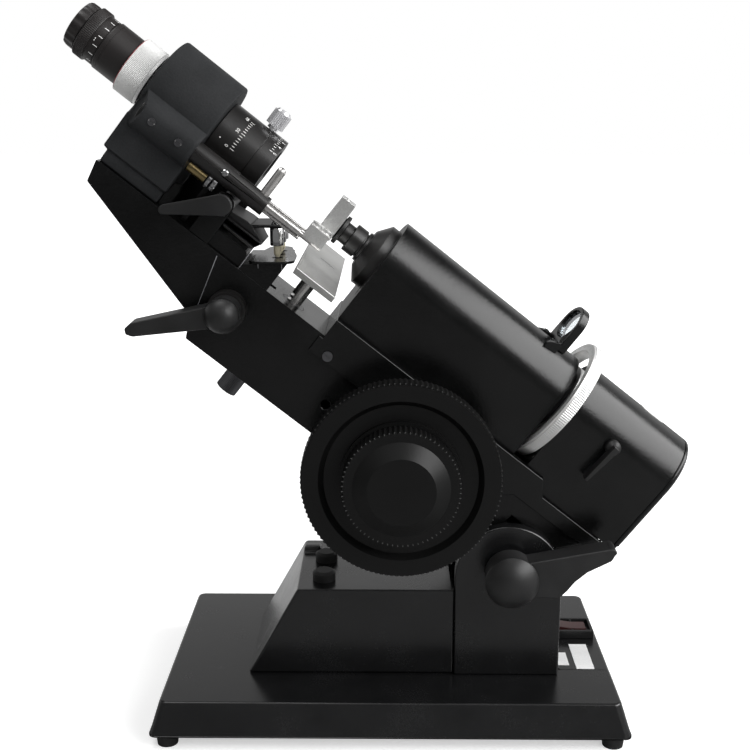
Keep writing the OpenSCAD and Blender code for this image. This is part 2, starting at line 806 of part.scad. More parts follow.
module shaft_guide() {
    color([0.45, 0.45, 0.47]) tilting() translate([0, shaft_y, 0]) difference() {
        union() {
            rod_z(arm_top - 7, arm_top, guide_r);
            rod_z(arm_bottom - 0.1, -99, guide_r);
            rod_z(arm_bottom - 2, arm_bottom, guide_r + 1.5);
            translate([0, 0, cap_bottom]) knurled(7.2, arm_bottom - 1.9 - cap_bottom, 36);
        }
        rod_z(cap_bottom + 2, arm_top + 1, shaft_r + running_gap);
    }
}

module arm_bushes() {
    color([0.12, 0.12, 0.125]) tilting() difference() {
        union() {
            rod_y(-arm_half, -arm_half + arm_wall + 2, bush_r, lever_u, lever_w);
            rod_y(lever_back + body_gap, -arm_half, bush_r + 3, lever_u, lever_w);
            rod_y(-arm_half, -arm_half + arm_wall + 3, bearing_r, wheel_u, wheel_w);
            rod_y(wheel_back + body_gap, -arm_half, bearing_r + 7, wheel_u, wheel_w);
        }
        rod_y(-90, 0, lever_shaft_r + running_gap, lever_u, lever_w);
        rod_y(-90, 0, wheel_shaft_r + running_gap, wheel_u, wheel_w);
    }
}

// Head group

module head_housing() {
    color([0.07, 0.07, 0.075]) tilting() difference() {
        union() {
            end_profile(head_left, head_right) arch_2d(head_r, head_bottom);
            block(head_left + 3, head_right - 1, -head_r + 2, head_r - 2, arm_top, head_bottom + 1);
        }
        end_profile(head_left + head_wall, head_right - head_wall)
            arch_2d(head_r - head_wall, head_bottom + head_wall);
        rod_x(head_left - 1, head_right + 1, telescope_r + seat_gap);
        rod_x(head_left - 1, head_right + 1, sleeve_r + seat_gap, sleeve_y, sleeve_w);
        rod_x(head_right - head_wall - 1, head_right + 1, damper_r + seat_gap, damper_y, damper_w);
    }
}

fairing_front = -44;

module sleeve_fairing() {
    color([0.07, 0.07, 0.075]) tilting() difference() {
        intersection() {
            block(head_left + 4, head_right, fairing_front, -head_r + 6, -25, -0.5);
            union() {
                rod_x(head_left + 4, head_right, -fairing_front + sleeve_y, sleeve_y, sleeve_w);
                block(head_left + 4, head_right, sleeve_y, 0, -25, -0.5);
            }
        }
        end_profile(head_left, head_right + 1) arch_2d(head_r + 0.02, head_bottom);
        rod_x(head_left, head_right + 1, sleeve_r + seat_gap, sleeve_y, sleeve_w);
        side_plate(fairing_front - 1, fairing_front + 6) polygon([[head_left, -2.8], [head_left + 5.3, -2.8],
            [head_left + 9.9, -15], [head_left + 6.2, -23.4], [head_left, -26]]);
    }
}

module telescope_tube() {
    color([0.15, 0.15, 0.16]) tilting() difference() {
        union() {
            rod_x(head_left - 3, head_right + tube_reach, telescope_r);
            rod_x(head_left - 21, head_left - 3, telescope_r - 4);
        }
        rod_x(head_left - 22, head_right + tube_reach + 1, telescope_r - 6);
        rod_x(head_right - 3, head_right + tube_reach + 1, objective_r + seat_gap);
    }
}

objective_r = 12;

module objective_lens() {
    color([0.7, 0.85, 0.9, 0.35]) tilting() rod_x(head_right - 2.8, head_right + 1.5, objective_r);
}

module holder_sleeve() {
    color([0.06, 0.06, 0.065]) tilting() difference() {
        union() {
            rod_x(head_left + 6, sleeve_end, sleeve_r, sleeve_y, sleeve_w);
            rod_y(sleeve_y - sleeve_r - 0.8, sleeve_y - sleeve_r + 1, 1.8, -80.8, sleeve_w + 1.5);
        }
        rod_x(head_left + 12, sleeve_end + 1, slide_head_r + running_gap, sleeve_y, sleeve_w);
        block(thumb_u - holder_travel - 3.6, sleeve_end + 1, sleeve_y - thumb_r - 0.3,
            sleeve_y + thumb_r + 0.3,
            sleeve_w, sleeve_w + sleeve_r + 1);
    }
}

sleeve_end = -49.7;
slide_head_r = 4.4;
thumb_u = -55;
thumb_r = 3;

damper_r = 2.6;
damper_y = -20;
damper_w = -25.3;

// Eyepiece group

eyepiece_right = head_left - protractor_len - 3.4;
eyepiece_left = eyepiece_right - eyepiece_len;

module eyepiece() {
    color([0.07, 0.06, 0.06]) tilting() difference() {
        union() {
            rod_x(eyepiece_left + 17, eyepiece_right, eyepiece_r - 0.3);
            translate([eyepiece_left + 8, 0, 0]) rotate([0, 90, 0]) knurled(eyepiece_r + 0.4, 9, 60, 0.6);
            rod_x(eyepiece_left + 1.5, eyepiece_left + 8, eyecup_r);
            cone_x(eyepiece_left, eyepiece_left + 1.5, eyecup_r - 1.5, eyecup_r);
        }
        cone_x(eyepiece_left - 0.1, eyepiece_left + 7, 12.5, 9);
        rod_x(eyepiece_left + 6, eyepiece_right + 1, 9);
        rod_x(eyepiece_right - 16, eyepiece_right + 1, telescope_r - 4 + running_gap);
        rod_x(eyepiece_left + 7, eyepiece_left + 14, 9.6);
    }
}

module eye_lens() {
    color([0.7, 0.85, 0.9, 0.35]) tilting() rod_x(eyepiece_left + 8.5, eyepiece_left + 12.5, 9.55);
}

module protractor_ring() {
    color([0.78, 0.78, 0.8]) tilting() difference() {
        union() {
            translate([head_left - protractor_len - 3, 0, 0]) rotate([0, 90, 0])
                knurled(protractor_r, protractor_len * 0.55, 90);
            rod_x(head_left - protractor_len * 0.45 - 3.1, head_left - 3.2, protractor_r - 0.4);
        }
        rod_x(head_left - protractor_len - 4, head_left, telescope_r - 4 + running_gap);
    }
}

// Prism compensator group

prism_end = head_right + prism_len;

module prism_barrel() {
    color([0.05, 0.05, 0.055]) tilting() difference() {
        union() {
            rod_x(head_right + body_gap, prism_end - 11, prism_r - 0.4);
            rod_x(prism_end - 11.2, prism_end, prism_r);
        }
        rod_x(head_right - 1, head_right + tube_reach + 1, telescope_r + running_gap);
        rod_x(head_right, prism_end + 1, 12);
        rod_x(prism_end - 6, prism_end + 1, prism_glass_r + seat_gap);
        rod_z(0, prism_r + 1, 2 + running_gap, prism_screw_u, 0);
    }
}

prism_glass_r = 16;

// A wedge of glass in the barrel's mouth, thicker at one side
module prism_glass() {
    color([0.7, 0.85, 0.9, 0.35]) tilting() difference() {
        rod_x(prism_end - 6, prism_end - 1.5, prism_glass_r);
        translate([prism_end - 2.5, 0, 0]) rotate([0, 3, 0]) block(0, 8, -20, 20, -20, 20);
    }
}

prism_screw_u = -76.8;

module prism_screw() {
    color([0.8, 0.8, 0.82]) tilting() translate([prism_screw_u, 0, 0]) union() {
        rod_z(prism_r - 4, prism_r + 2, 2);
        rod_z(prism_r + 0.4, prism_r + 2.6, 3.6);
        translate([0, 0, prism_r + 2.6]) knurled(6, 10, 30, 0.5);
        translate([0, 0, prism_r + 12.6]) cylinder(r1 = 5.4, r2 = 4, h = 1.6);
    }
}

// Lens holder group

block_left = -21.9;
block_right = -7.8;
rod_r = 2.9;

module lens_holder() {
    color([0.72, 0.72, 0.71]) tilting() difference() {
        union() {
            block(block_left, block_right, sleeve_y - 5.4, -14, sleeve_w + 0.4, -3.9);
            block(-16.5, -6.3, -14.5, 11, -9, 12);
            block(-16.5, -6.3, -14.5, 4, 11.5, 18.2);
            rod_x(-6.4, -5.3, 8);
            rod_x(-5.3, nose_tip - 0.3, 10.1);
            for (x = [block_left + 3.4, block_right - 3.4])
                translate([x, sleeve_y + 2, -3.9]) screw_head(3, 2.1);
            translate([-12.7, -8, 18.2]) screw_head(2.2, 1);
        }
        rod_x(-20, 0, 5.5);
        rod_x(block_left - 1, block_right + 1, holder_rod_r + 0.02, sleeve_y, sleeve_w);
    }
}

module holder_rod() {
    color([0.85, 0.85, 0.87]) tilting() union() {
        rod_x(block_left - 2.4, block_right - 0.5, holder_rod_r - 0.1, sleeve_y, sleeve_w);
        rod_x(-104, block_left - 2.3, rod_r, sleeve_y, sleeve_w);
        rod_x(thumb_u - 6, thumb_u + 5, slide_head_r, sleeve_y, sleeve_w);
        translate([thumb_u, sleeve_y, sleeve_w]) cylinder(r = thumb_r, h = 22);
        translate([thumb_u, sleeve_y, sleeve_w + 22]) sphere(r = thumb_r);
        rod_x(thumb_u + 4, block_left - 1, 1.1, sleeve_y, sleeve_w - 3.1);
        rod_x(thumb_u + 4, block_left - 0.05, 0.9, sleeve_y, sleeve_w + 3.3);
    }
}

// Lens table group

shaft_bottom = -95;

module lens_table() {
    color([0.74, 0.74, 0.73]) tilting() difference() {
        block(-table_w / 2, table_w / 2, -table_d / 2 - 1, table_d / 2 - 1, table_top - table_t, table_top);
        rod_z(table_top - table_t - 1, table_top - 1, shaft_r - 1.5 + seat_gap, 0, shaft_y);
    }
}

module table_shaft() {
    color([0.8, 0.8, 0.82]) tilting() difference() {
        union() {
            rod_z(shaft_bottom, table_top - table_t, shaft_r, 0, shaft_y);
            rod_z(table_top - table_t - 0.1, table_top - 1.1, shaft_r - 1.5, 0, shaft_y);
        }
        difference() {
            block(-shaft_r - 1, table_rack_u + 2, shaft_y - 6, shaft_y + 6, lever_w - 7,
                lever_w + table_travel + 7);
            translate([table_rack_u, 0, lever_w]) rotate([0, -90, 0])
                side_plate(shaft_y - 7, shaft_y + 7) mirror([0, 1])
                    rack_2d(table_module, 12, 3, gear_play);
        }
    }
}

lever_shaft_r = 4;
lever_back = -arm_half - 10;
lever_front = lever_back - 17;
lever_cap_r = 10.8;

module table_lever_2d() {
    union() {
        circle(r = lever_cap_r - 0.6);
        polygon([[-1, 10], [-10.5, -1.2], [-40.4, -37.6], [-41.2, -42.6], [-38.6, -45], [-34.5, -43.6],
            [-2.4, -12.3],
            [4, -8]]);
    }
}

module table_lever() {
    cap_h = 8;
    ball_r = (lever_cap_r * lever_cap_r + cap_h * cap_h) / (2 * cap_h);
    color([0.1, 0.1, 0.105]) tilting() translate([lever_u, 0, lever_w]) difference() {
        union() {
            side_plate(lever_front, lever_back) table_lever_2d();
            translate([0, lever_front, 0]) rotate([90, 0, 0]) intersection() {
                translate([0, 0, cap_h - ball_r]) sphere(r = ball_r);
                cylinder(r = lever_cap_r, h = cap_h);
            }
        }
        rod_y(lever_front + 2, 0, lever_shaft_r + 0.02);
    }
}

sector_first = -1;
sector_last = 8;

module sector_gear() {
    color([0.6, 0.55, 0.4]) tilting() translate([lever_u, 0, lever_w]) difference() {
        union() {
            side_plate(shaft_y - 3, shaft_y + 3)
                gear_2d(table_module, table_teeth, sector_first, sector_last, gear_play);
            rod_y(shaft_y - 5, shaft_y + 5, 7);
            rod_y(lever_front + 2.1, shaft_y, lever_shaft_r);
        }
    }
}

// Marking device group

module ink_pad() {
    color([0.5, 0.5, 0.5]) tilting() union() {
        side_plate(-arm_half, arm_half) polygon([[-41, arm_top], [-41, pad_w(-41) - 2.6],
            [-18.5, pad_w(-18.5) - 2.6], [-18.5, arm_top]]);
        translate([nib_u, -15, nib_w]) rotate([0, -tilt_angle, 0]) translate([-2.4, 0, 0]) difference() {
            translate([0, 0, -pad_level - 1.6]) linear_extrude(height = 1.6)
                hull() {
                    translate([-10, 12]) circle(r = 3.5, $fn = hull_fn);
                    translate([10, 12]) circle(r = 3.5, $fn = hull_fn);
                    translate([-6, -14]) circle(r = 8, $fn = hull_fn);
                    translate([6, -14]) circle(r = 8, $fn = hull_fn);
                    translate([0, 50]) circle(r = 8, $fn = hull_fn);
                }
            for (y = [-2, 15, 32]) translate([2.4, y, -pad_level - 1]) cylinder(r = 3.4, h = 2);
        }
    }
}

function pad_w(u) = nib_w + (u - nib_u) * tan(tilt_angle);

marker_wall_y = 23;

module marker_bracket() {
    color([0.08, 0.08, 0.085]) tilting() union() {
        difference() {
            union() {
                side_plate(-34, -29) union() {
                    translate([marker_u, marker_w]) circle(r = 7);
                    translate([marker_u - 7, arm_top]) square([14, marker_w - arm_top]);
                }
                side_plate(marker_wall_y, marker_wall_y + 5) polygon([[head_right + body_gap, arm_top],
                    [head_right + body_gap, marker_w + 4.7], [marker_u, marker_w + 8.7],
                    [marker_u + 10.4, marker_w + 8.7], [marker_u + 10.4, arm_top]]);
            }
            rod_y(-50, 50, marker_shaft_r + running_gap, marker_u, marker_w);
        }
        rod_x(head_right - head_wall, marker_u - 14, damper_r, damper_y, damper_w);
        rod_x(marker_u - 18, marker_u - 11, damper_r + 1.6, damper_y, damper_w);
        block(marker_u - 16, marker_u - 12, damper_y - 3, damper_y + 3, arm_top, damper_w);
    }
}

marker_lever_back = -39.5;
marker_lever_front = -44.5;

module marker_arm() {
    color([0.09, 0.09, 0.095]) tilting() translate([marker_u, 0, marker_w]) difference() {
        union() {
            side_plate(marker_lever_front, marker_lever_back) union() {
                circle(r = 6.6);
                polygon([[-4.4, 5], [-27.6, -21.2], [-28.6, -23.6], [-27.4, -26], [-25, -26.6], [5.4, -4]]);
            }
            rod_y(marker_lever_back - 0.1, 28.5, marker_shaft_r);
            rod_y(-20, 20, 5.2);
            difference() {
                side_plate(-marker_half, marker_half) polygon([[0, -4], [4, -2.6], [17.8, -0.9], [33.6, -6.5],
                    [29.7, -13.6], [8, -13.5]]);
                for (w = [-11.6, -9, -6.4]) for (side = [-1, 1])
                    rod_x(6, 36, 0.8, side * marker_half, w);
            }
            translate([pin_rel_u, 0, pin_rel_w]) rotate([0, -tilt_angle, 0]) {
                block(-16, 4.6, -marker_half, marker_half, 18.6, 20.5);
                for (y = marker_rows) rod_z(7.5, 20.4, pin_body_r, 0, y);
            }
        }
        for (y = marker_rows) translate([pin_rel_u, y, pin_rel_w]) rotate([0, -tilt_angle, 0])
            rod_z(-20, 40, pin_bore_r + running_gap);
    }
}

pin_rel_u = nib_u - marker_u;
pin_rel_w = nib_w - marker_w;
pin_body_r = 4.1;
marker_half = 21.2;
pin_bore_r = 2.2;

module marker_pins() {
    color([0.86, 0.83, 0.7]) tilting() translate([marker_u, 0, marker_w])
        for (y = marker_rows) translate([pin_rel_u, y, pin_rel_w])
            rotate([0, -tilt_angle, 0]) union() {
                cylinder(r1 = 1.2, r2 = pin_bore_r, h = 2);
                translate([0, 0, 1.9]) cylinder(r = pin_bore_r, h = 20.6);
            }
}

// Power wheel group

wheel_back = -63;
wheel_front = wheel_back - wheel_t;
wheel_shaft_r = 5;
knob_crown = 6;

module power_wheel() {
    color([0.06, 0.06, 0.06]) tilting() translate([wheel_u, wheel_back, wheel_w]) rotate([90, 0,
        0]) difference() {
        union() {
            knurled(wheel_r, wheel_t - 1, 120, 0.8);
            cylinder(r = wheel_r - 1.2, h = wheel_t);
        }
        translate([0, 0, wheel_t - 4]) difference() {
            cylinder(r1 = 47, r2 = 51, h = 5);
            translate([0, 0, -1]) cylinder(r = 37.5, h = 7);
        }
        translate([0, 0, -1]) cylinder(r = wheel_shaft_r + 0.02, h = wheel_t + 2);
        translate([0, 0, -1]) difference() {
            cylinder(r = 54, h = 6);
            translate([0, 0, -1]) cylinder(r = 24, h = 8);
        }
    }
}

module power_knob() {
    color([0.06, 0.06, 0.06]) tilting() translate([wheel_u, wheel_front, wheel_w]) rotate([90, 0,
        0]) difference() {
        union() {
            knurled(knob_r, knob_h - knob_crown, 72, 1.1);
            translate([0, 0, knob_h - knob_crown - 0.01])
                cylinder(r1 = knob_r - 6.4, r2 = knob_r - 15.1, h = knob_crown + 0.01);
        }
        translate([0, 0, -1]) cylinder(r = wheel_shaft_r + 0.02, h = knob_h - 5);
    }
}

module wheel_shaft() {
    color([0.7, 0.7, 0.72]) tilting() translate([wheel_u, 0, wheel_w]) union() {
        rod_y(wheel_front - knob_h + 7, -6, wheel_shaft_r);
        side_plate(-6, 6) rotate(90) gear_2d(power_module, power_teeth, 0, power_teeth - 1, gear_play);
    }
}

module target_carriage() {
    rack_teeth = 13;
    color([0.55, 0.5, 0.35]) tilting() difference() {
        union() {
            translate([wheel_u, 0, power_rack_w]) side_plate(-4.5, 4.5)
                rack_2d(power_module, rack_teeth, 6, gear_play);
            block(wheel_u - 6, wheel_u + 6, -4.5, 4.5, power_rack_w + 5.9, guide_rail_w - 5);
            block(wheel_u - 8, wheel_u + 8, -guide_rail_y - 6, guide_rail_y + 6, guide_rail_w - 6,
                guide_rail_w + 6);
            block(wheel_u - 4, wheel_u + 4, -8, 8, guide_rail_w + 5, -4);
            rod_x(wheel_u - 12, wheel_u + 12, 12);
        }
        rod_x(wheel_u - 20, wheel_u + 20, 8);
        for (s = [-1, 1]) rod_x(wheel_u - 20, wheel_u + 20, guide_rail_r + running_gap,
            s * guide_rail_y, guide_rail_w);
    }
}

// Axis ring with its spokes and the hub that turns on the fixed tube

module axis_ring() {
    color([0.8, 0.8, 0.82]) tilting() difference() {
        union() {
            difference() {
                union() {
                    rod_x(ring_front, ring_front + 1.5, ring_r - 0.6);
                    translate([ring_front + 1.4, 0, 0]) rotate([0, 90, 0])
                        knurled(ring_r, ring_t - 1.4, 180, 0.35);
                }
                rod_x(ring_front - 1, ring_front + ring_t + 1, ring_inner_r);
            }
            rod_x(ring_front + 3, ring_front + ring_t, ring_hub_r);
            for (a = [60, 180, 300]) rotate([a, 0, 0])
                block(ring_front + 5, ring_front + ring_t - 1, -3.5, 3.5, ring_hub_r - 1, ring_inner_r + 1);
        }
        rod_x(ring_front, ring_front + ring_t + 1, ring_hub_bore);
    }
}

// Magnifier over the axis ring's scale: a thick ring on legs that straddle the housing's round top

magnifier_u = 151.6;
magnifier_w = 43.8;
magnifier_turn = 9;
magnifier_t = 5.8;
magnifier_r = 13.3;
magnifier_lens_r = 10.5;
magnifier_hinge_x = -5.2;
magnifier_hinge_w = 29.5;
hinge_pin_r = 0.9;

module magnifier_turned() {
    translate([magnifier_u, 0, 0]) rotate([0, 0, magnifier_turn]) children();
}

module magnifier_bracket() {
    color([0.07, 0.07, 0.075]) tilting() difference() {
        magnifier_turned() for (s = [0, 1]) mirror([0, s, 0]) {
            side_plate(13.2, 16.4) union() {
                translate([magnifier_hinge_x, magnifier_hinge_w]) circle(r = 1.9);
                polygon([[-12.5, 22], [-12.5, 27], [-10.5, 29], [-6.6, 30.8], [-5.2, 29.5], [-3.3, 29.5],
                    [-3.3, 22]]);
            }
            rod_y(10.4, 14, hinge_pin_r, magnifier_hinge_x, magnifier_hinge_w);
        }
        rod_x(magnifier_u - 25, magnifier_u + 15, tunnel_r + seat_gap);
    }
}

module magnifier_ring() {
    color([0.07, 0.07, 0.075]) tilting() difference() {
        magnifier_turned() difference() {
            union() {
                translate([-magnifier_t / 2, 0, magnifier_w]) rotate([0, 90, 0])
                    cylinder(r = magnifier_r, h = magnifier_t);
                block(-magnifier_t / 2, magnifier_t / 2, -magnifier_r, magnifier_r, 24, magnifier_w);
                for (s = [0, 1]) mirror([0, s, 0]) {
                    rod_y(10.6, 12.9, 1.6, magnifier_hinge_x, magnifier_hinge_w);
                    block(magnifier_hinge_x, 0, 10.6, 12.9, magnifier_hinge_w - 1.6, magnifier_hinge_w + 1.6);
                }
            }
            translate([-magnifier_t, 0, magnifier_w]) rotate([0, 90, 0])
                cylinder(r = magnifier_lens_r - 0.8, h = 2 * magnifier_t);
            translate([-magnifier_t, 0, magnifier_w]) rotate([0, 90, 0])
                cylinder(r = magnifier_lens_r + seat_gap, h = magnifier_t + 1.6);
            for (s = [0, 1]) mirror([0, s, 0])
                rod_y(10, 13.1, hinge_pin_r + running_gap, magnifier_hinge_x, magnifier_hinge_w);
        }
        rod_x(magnifier_u - 15, magnifier_u + 15, tunnel_r + body_gap);
    }
}

module magnifier_lens() {
    color([0.7, 0.85, 0.9, 0.35]) tilting() magnifier_turned() translate([-0.8, 0, magnifier_w])
        rotate([0, 90, 0]) cylinder(r = magnifier_lens_r, h = 2.4);
}

// Filter lever on the lamp house, with the filter that it swings into the light

filter_u = 214.7;
filter_w = 1.7;
filter_hub_r = 5;
filter_shaft_r = 2.5;

module filter_lever() {
    color([0.08, 0.08, 0.085]) tilting() translate([filter_u, 0, filter_w]) union() {
        rod_y(-cover_r - 7, -12, filter_shaft_r);
        rod_y(-cover_r - 4, -cover_r - 0.5, filter_hub_r);
        translate([0, -cover_r - 4, 0]) rotate([90, 0, 0]) cylinder(r1 = filter_hub_r, r2 = 3, h = 2.6);
        side_plate(-cover_r - 11, -cover_r - 3) polygon([[-2, 2], [2, 2], [-1.2, -25.9], [-3.2, -25.9]]);
        difference() {
            rod_x(-1.5, 1.5, 12.6);
            rod_x(-2, 2, filter_glass_r + seat_gap);
        }
    }
}

filter_glass_r = 11;

module filter_glass() {
    color([0.2, 0.6, 0.3, 0.5]) tilting() rod_x(filter_u - 1, filter_u + 1, filter_glass_r, 0, filter_w);
}

base_casting();
bottom_plate();
rubber_feet();
pedestal();
yoke_ears();
tilt_stops();
blank_plates();
power_supply();
switch_box();
power_inlet();
base_screws();
pivot_shaft();
clamp_lever();
clamp_cap();
power_rocker();
arm_casting();
arm_rear_cover();
head_housing();
sleeve_fairing();
telescope_tube();
objective_lens();
holder_sleeve();
chassis();
collimator_cover();
lamp_house();
end_cap();
nosepiece();
collimator_lens();
rear_bulkhead();
lamp();
frame_screws();
ink_pad();
marker_bracket();
shaft_guide();
arm_bushes();
top_plate();
magnifier_bracket();
eyepiece();
eye_lens();
protractor_ring();
prism_barrel();
prism_glass();
prism_screw();
lens_holder();
holder_rod();
lens_table();
table_shaft();
table_lever();
sector_gear();
marker_arm();
marker_pins();
power_wheel();
power_knob();
wheel_shaft();
target_carriage();
axis_ring();
magnifier_ring();
magnifier_lens();
filter_lever();
filter_glass();
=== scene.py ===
import json
import math

import bmesh
import bpy
from mathutils import Matrix, Vector


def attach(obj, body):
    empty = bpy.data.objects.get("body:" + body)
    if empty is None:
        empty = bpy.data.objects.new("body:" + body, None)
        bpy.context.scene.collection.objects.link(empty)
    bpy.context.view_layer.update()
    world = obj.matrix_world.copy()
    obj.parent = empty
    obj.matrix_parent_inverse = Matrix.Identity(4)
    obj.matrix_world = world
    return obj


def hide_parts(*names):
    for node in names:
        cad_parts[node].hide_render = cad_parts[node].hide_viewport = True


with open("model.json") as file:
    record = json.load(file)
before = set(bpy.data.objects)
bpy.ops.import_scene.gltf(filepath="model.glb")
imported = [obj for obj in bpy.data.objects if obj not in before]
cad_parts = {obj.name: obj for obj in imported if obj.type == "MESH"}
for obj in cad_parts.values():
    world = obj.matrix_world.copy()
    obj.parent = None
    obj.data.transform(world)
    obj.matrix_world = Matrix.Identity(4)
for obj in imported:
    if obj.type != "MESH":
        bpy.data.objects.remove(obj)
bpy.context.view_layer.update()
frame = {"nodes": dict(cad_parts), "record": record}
nodes = frame["nodes"]
slotOf = {p["node"]: p["material_slot"] for p in frame["record"]["subparts"]}
bodyOf = {n: b for b, members in frame["record"]["behaviour"]["bodies"].items() for n in members}
mm = 0.001
print("frame loaded:", len(nodes), "nodes")


def newObject(name, data):
    made = bpy.data.objects.new(name, data)
    bpy.context.scene.collection.objects.link(made)
    return made


# the camera stands where the photographer's did, a little above the eyepiece
camera = {"place": (-0.0029, -0.7406, 0.3967), "turn": (76.67, 0, 0.563), "lens": 55.632, "sensor": 36,
          "nearest": 0.01}


def setCamera(c):
    data = bpy.data.cameras.new("camera")
    data.lens = c["lens"]
    data.sensor_width = c["sensor"]
    data.clip_start = c["nearest"]
    view = newObject("camera", data)
    view.location = c["place"]
    view.rotation_euler = [math.radians(a) for a in c["turn"]]
    bpy.context.scene.camera = view


setCamera(camera)

# the instrument's own axis: u along it from the lens table, w square to it and upwards, in millimetres
axis = {"tilt": 38.3, "pivot": (0.076, 0, 0.104), "pivotOnAxis": (212, 0, -100)}
tilt = math.radians(axis["tilt"])
optics = (Matrix.Translation(axis["pivot"]) @ Matrix.Rotation(tilt, 4, "Y") @ Matrix.Scale(mm, 4)
          @ Matrix.Translation(-Vector(axis["pivotOnAxis"])))
alongAxis = Vector((math.cos(tilt), 0, -math.sin(tilt)))  # in the room's own directions
across = Vector((0, 1, 0))
uWay, wWay, nearWay = Vector((1, 0, 0)), Vector((0, 0, 1)), Vector((0, -1, 0))  # along the axis's directions


def onAxis(u, y, w):
    return optics @ Vector((u, y, w))


# shader maths


class Val:
    def __init__(self, tree, socket):
        self.tree, self.socket = tree, socket

    def maths(self, operation, other, flip=False):
        node = self.tree.nodes.new("ShaderNodeMath")
        node.operation = operation
        for place, value in zip(node.inputs, (other, self) if flip else (self, other)):
            plug(self.tree, place, value)
        return Val(self.tree, node.outputs[0])

    def __add__(self, other):
        return self.maths("ADD", other)

    def __radd__(self, other):
        return self.maths("ADD", other, True)

    def __sub__(self, other):
        return self.maths("SUBTRACT", other)

    def __rsub__(self, other):
        return self.maths("SUBTRACT", other, True)

    def __mul__(self, other):
        return self.maths("MULTIPLY", other)

    def __rmul__(self, other):
        return self.maths("MULTIPLY", other, True)

    def __gt__(self, other):
        return self.maths("GREATER_THAN", other)

    def __lt__(self, other):
        return self.maths("LESS_THAN", other)


def plug(tree, place, value):
    if isinstance(value, Val):
        tree.links.new(value.socket, place)
    elif place.type == "RGBA" and isinstance(value, tuple):
        place.default_value = (*value, 1)
    else:
        place.default_value = value


class Finish:
    def __init__(self, owner, place="Object"):
        owner.use_nodes = True
        self.owner, self.tree = owner, owner.node_tree
        self.tree.nodes.clear()
        self.place = self.node("ShaderNodeTexCoord", out=place)

    def node(self, kind, values=None, settings=None, out=0):
        node = self.tree.nodes.new(kind)
        for key, value in (settings or {}).items():
            setattr(node, key, value)
        for key, value in (values or {}).items():
            plug(self.tree, node.inputs[key], value)
        return Val(self.tree, node.outputs[out])

    def noise(self, scale, detail=3, roughness=0.5):
        return self.node("ShaderNodeTexNoise", {"Vector": self.place, "Scale": scale, "Detail": detail,
                                                "Roughness": roughness})

    def lines(self, reach):
        return self.node("ShaderNodeTexNoise", {"W": reach, "Scale": 1, "Detail": 2},
                         {"noise_dimensions": "1D"})

    def mix(self, first, second, share):
        return self.node("ShaderNodeMix", {0: share, 6: first, 7: second}, {"data_type": "RGBA"}, out=2)

    def ramp(self, value, low, high, bottom=0, top=1):
        return self.node("ShaderNodeMapRange", {"Value": value, "From Min": low, "From Max": high,
                                                "To Min": bottom, "To Max": top}, {"clamp": True})

    def vector(self, operation, *values, out=0):
        return self.node("ShaderNodeVectorMath", dict(enumerate(values)), {"operation": operation}, out)

    def bump(self, height, depth, strength):
        return self.node("ShaderNodeBump", {"Height": height, "Distance": depth * mm, "Strength": strength})

    def part(self, name):
        return self.node("ShaderNodeSeparateXYZ", {0: self.place}, out=name)

    def ray(self, kind):
        return self.node("ShaderNodeLightPath", out="Is " + kind + " Ray")

    def turned(self, centre, direction):
        # how far a point is from the middle of a turned part, along its axis and out from it
        fromCentre = self.vector("SUBTRACT", self.place, centre)
        along = self.vector("DOT_PRODUCT", fromCentre, direction, out="Value")
        foot = self.node("ShaderNodeVectorMath", {0: direction, "Scale": along}, {"operation": "SCALE"})
        return along, self.vector("LENGTH", self.vector("SUBTRACT", fromCentre, foot), out="Value")

    def finish(self, **values):
        return self.show(self.node("ShaderNodeBsdfPrincipled",
                                   {key.replace("_", " "): value for key, value in values.items()}))

    def show(self, shader, end="ShaderNodeOutputMaterial"):
        self.tree.links.new(shader.socket, self.tree.nodes.new(end).inputs["Surface"])
        return self.owner


# finishes, one for each slot of the record and for some pieces of their own


def newFinish(name):
    return Finish(bpy.data.materials.new(name))


def shaded(colour, by, lift=0.0):
    return tuple(min(1, c * by + lift) for c in colour)


def paint(name, colour, shine, scale, depth, strength, gloss=0.5):
    f = newFinish(name)
    cloud = f.noise(35)
    speck = f.noise(scale, roughness=0.6)
    tone = f.ramp(cloud * 0.6 + speck * 0.4, 0.35, 0.7)
    return f.finish(Base_Color=f.mix(colour, shaded(colour, 1.5, 0.003), tone),
                    Roughness=shine + (cloud - 0.5) * 0.12 + (speck - 0.5) * 0.1,
                    Specular_IOR_Level=gloss, Normal=f.bump(speck, depth, strength))


def turnedMetal(name, colour, shine, line, pitch, metal, depth=0.02, gloss=0.5):
    # line is the turned part's centre and direction, pitch the breadth of the tool's marks
    f = newFinish(name)
    along, outward = f.turned(*line)
    cut = f.lines((along + outward * 1.3) * (1000 / pitch))
    cloud = f.noise(60)
    tone = f.ramp(cut * 0.7 + cloud * 0.3, 0.3, 0.62)
    return f.finish(Base_Color=f.mix(shaded(colour, 0.72), colour, tone),
                    Metallic=metal, Roughness=shine + (cut - 0.5) * 0.12 + (cloud - 0.5) * 0.08,
                    Specular_IOR_Level=gloss, Normal=f.bump(cut, depth, 0.4))


def plainMetal(name, colour, shine, grain=900, depth=0.01, metal=1):
    f = newFinish(name)
    fine = f.noise(grain)
    cloud = f.noise(45)
    tone = f.ramp(fine * 0.5 + cloud * 0.5, 0.3, 0.65)
    return f.finish(Base_Color=f.mix(shaded(colour, 0.8), colour, tone),
                    Metallic=metal, Roughness=shine + (fine - 0.5) * 0.15 + (cloud - 0.5) * 0.08,
                    Normal=f.bump(fine, depth, 0.3))


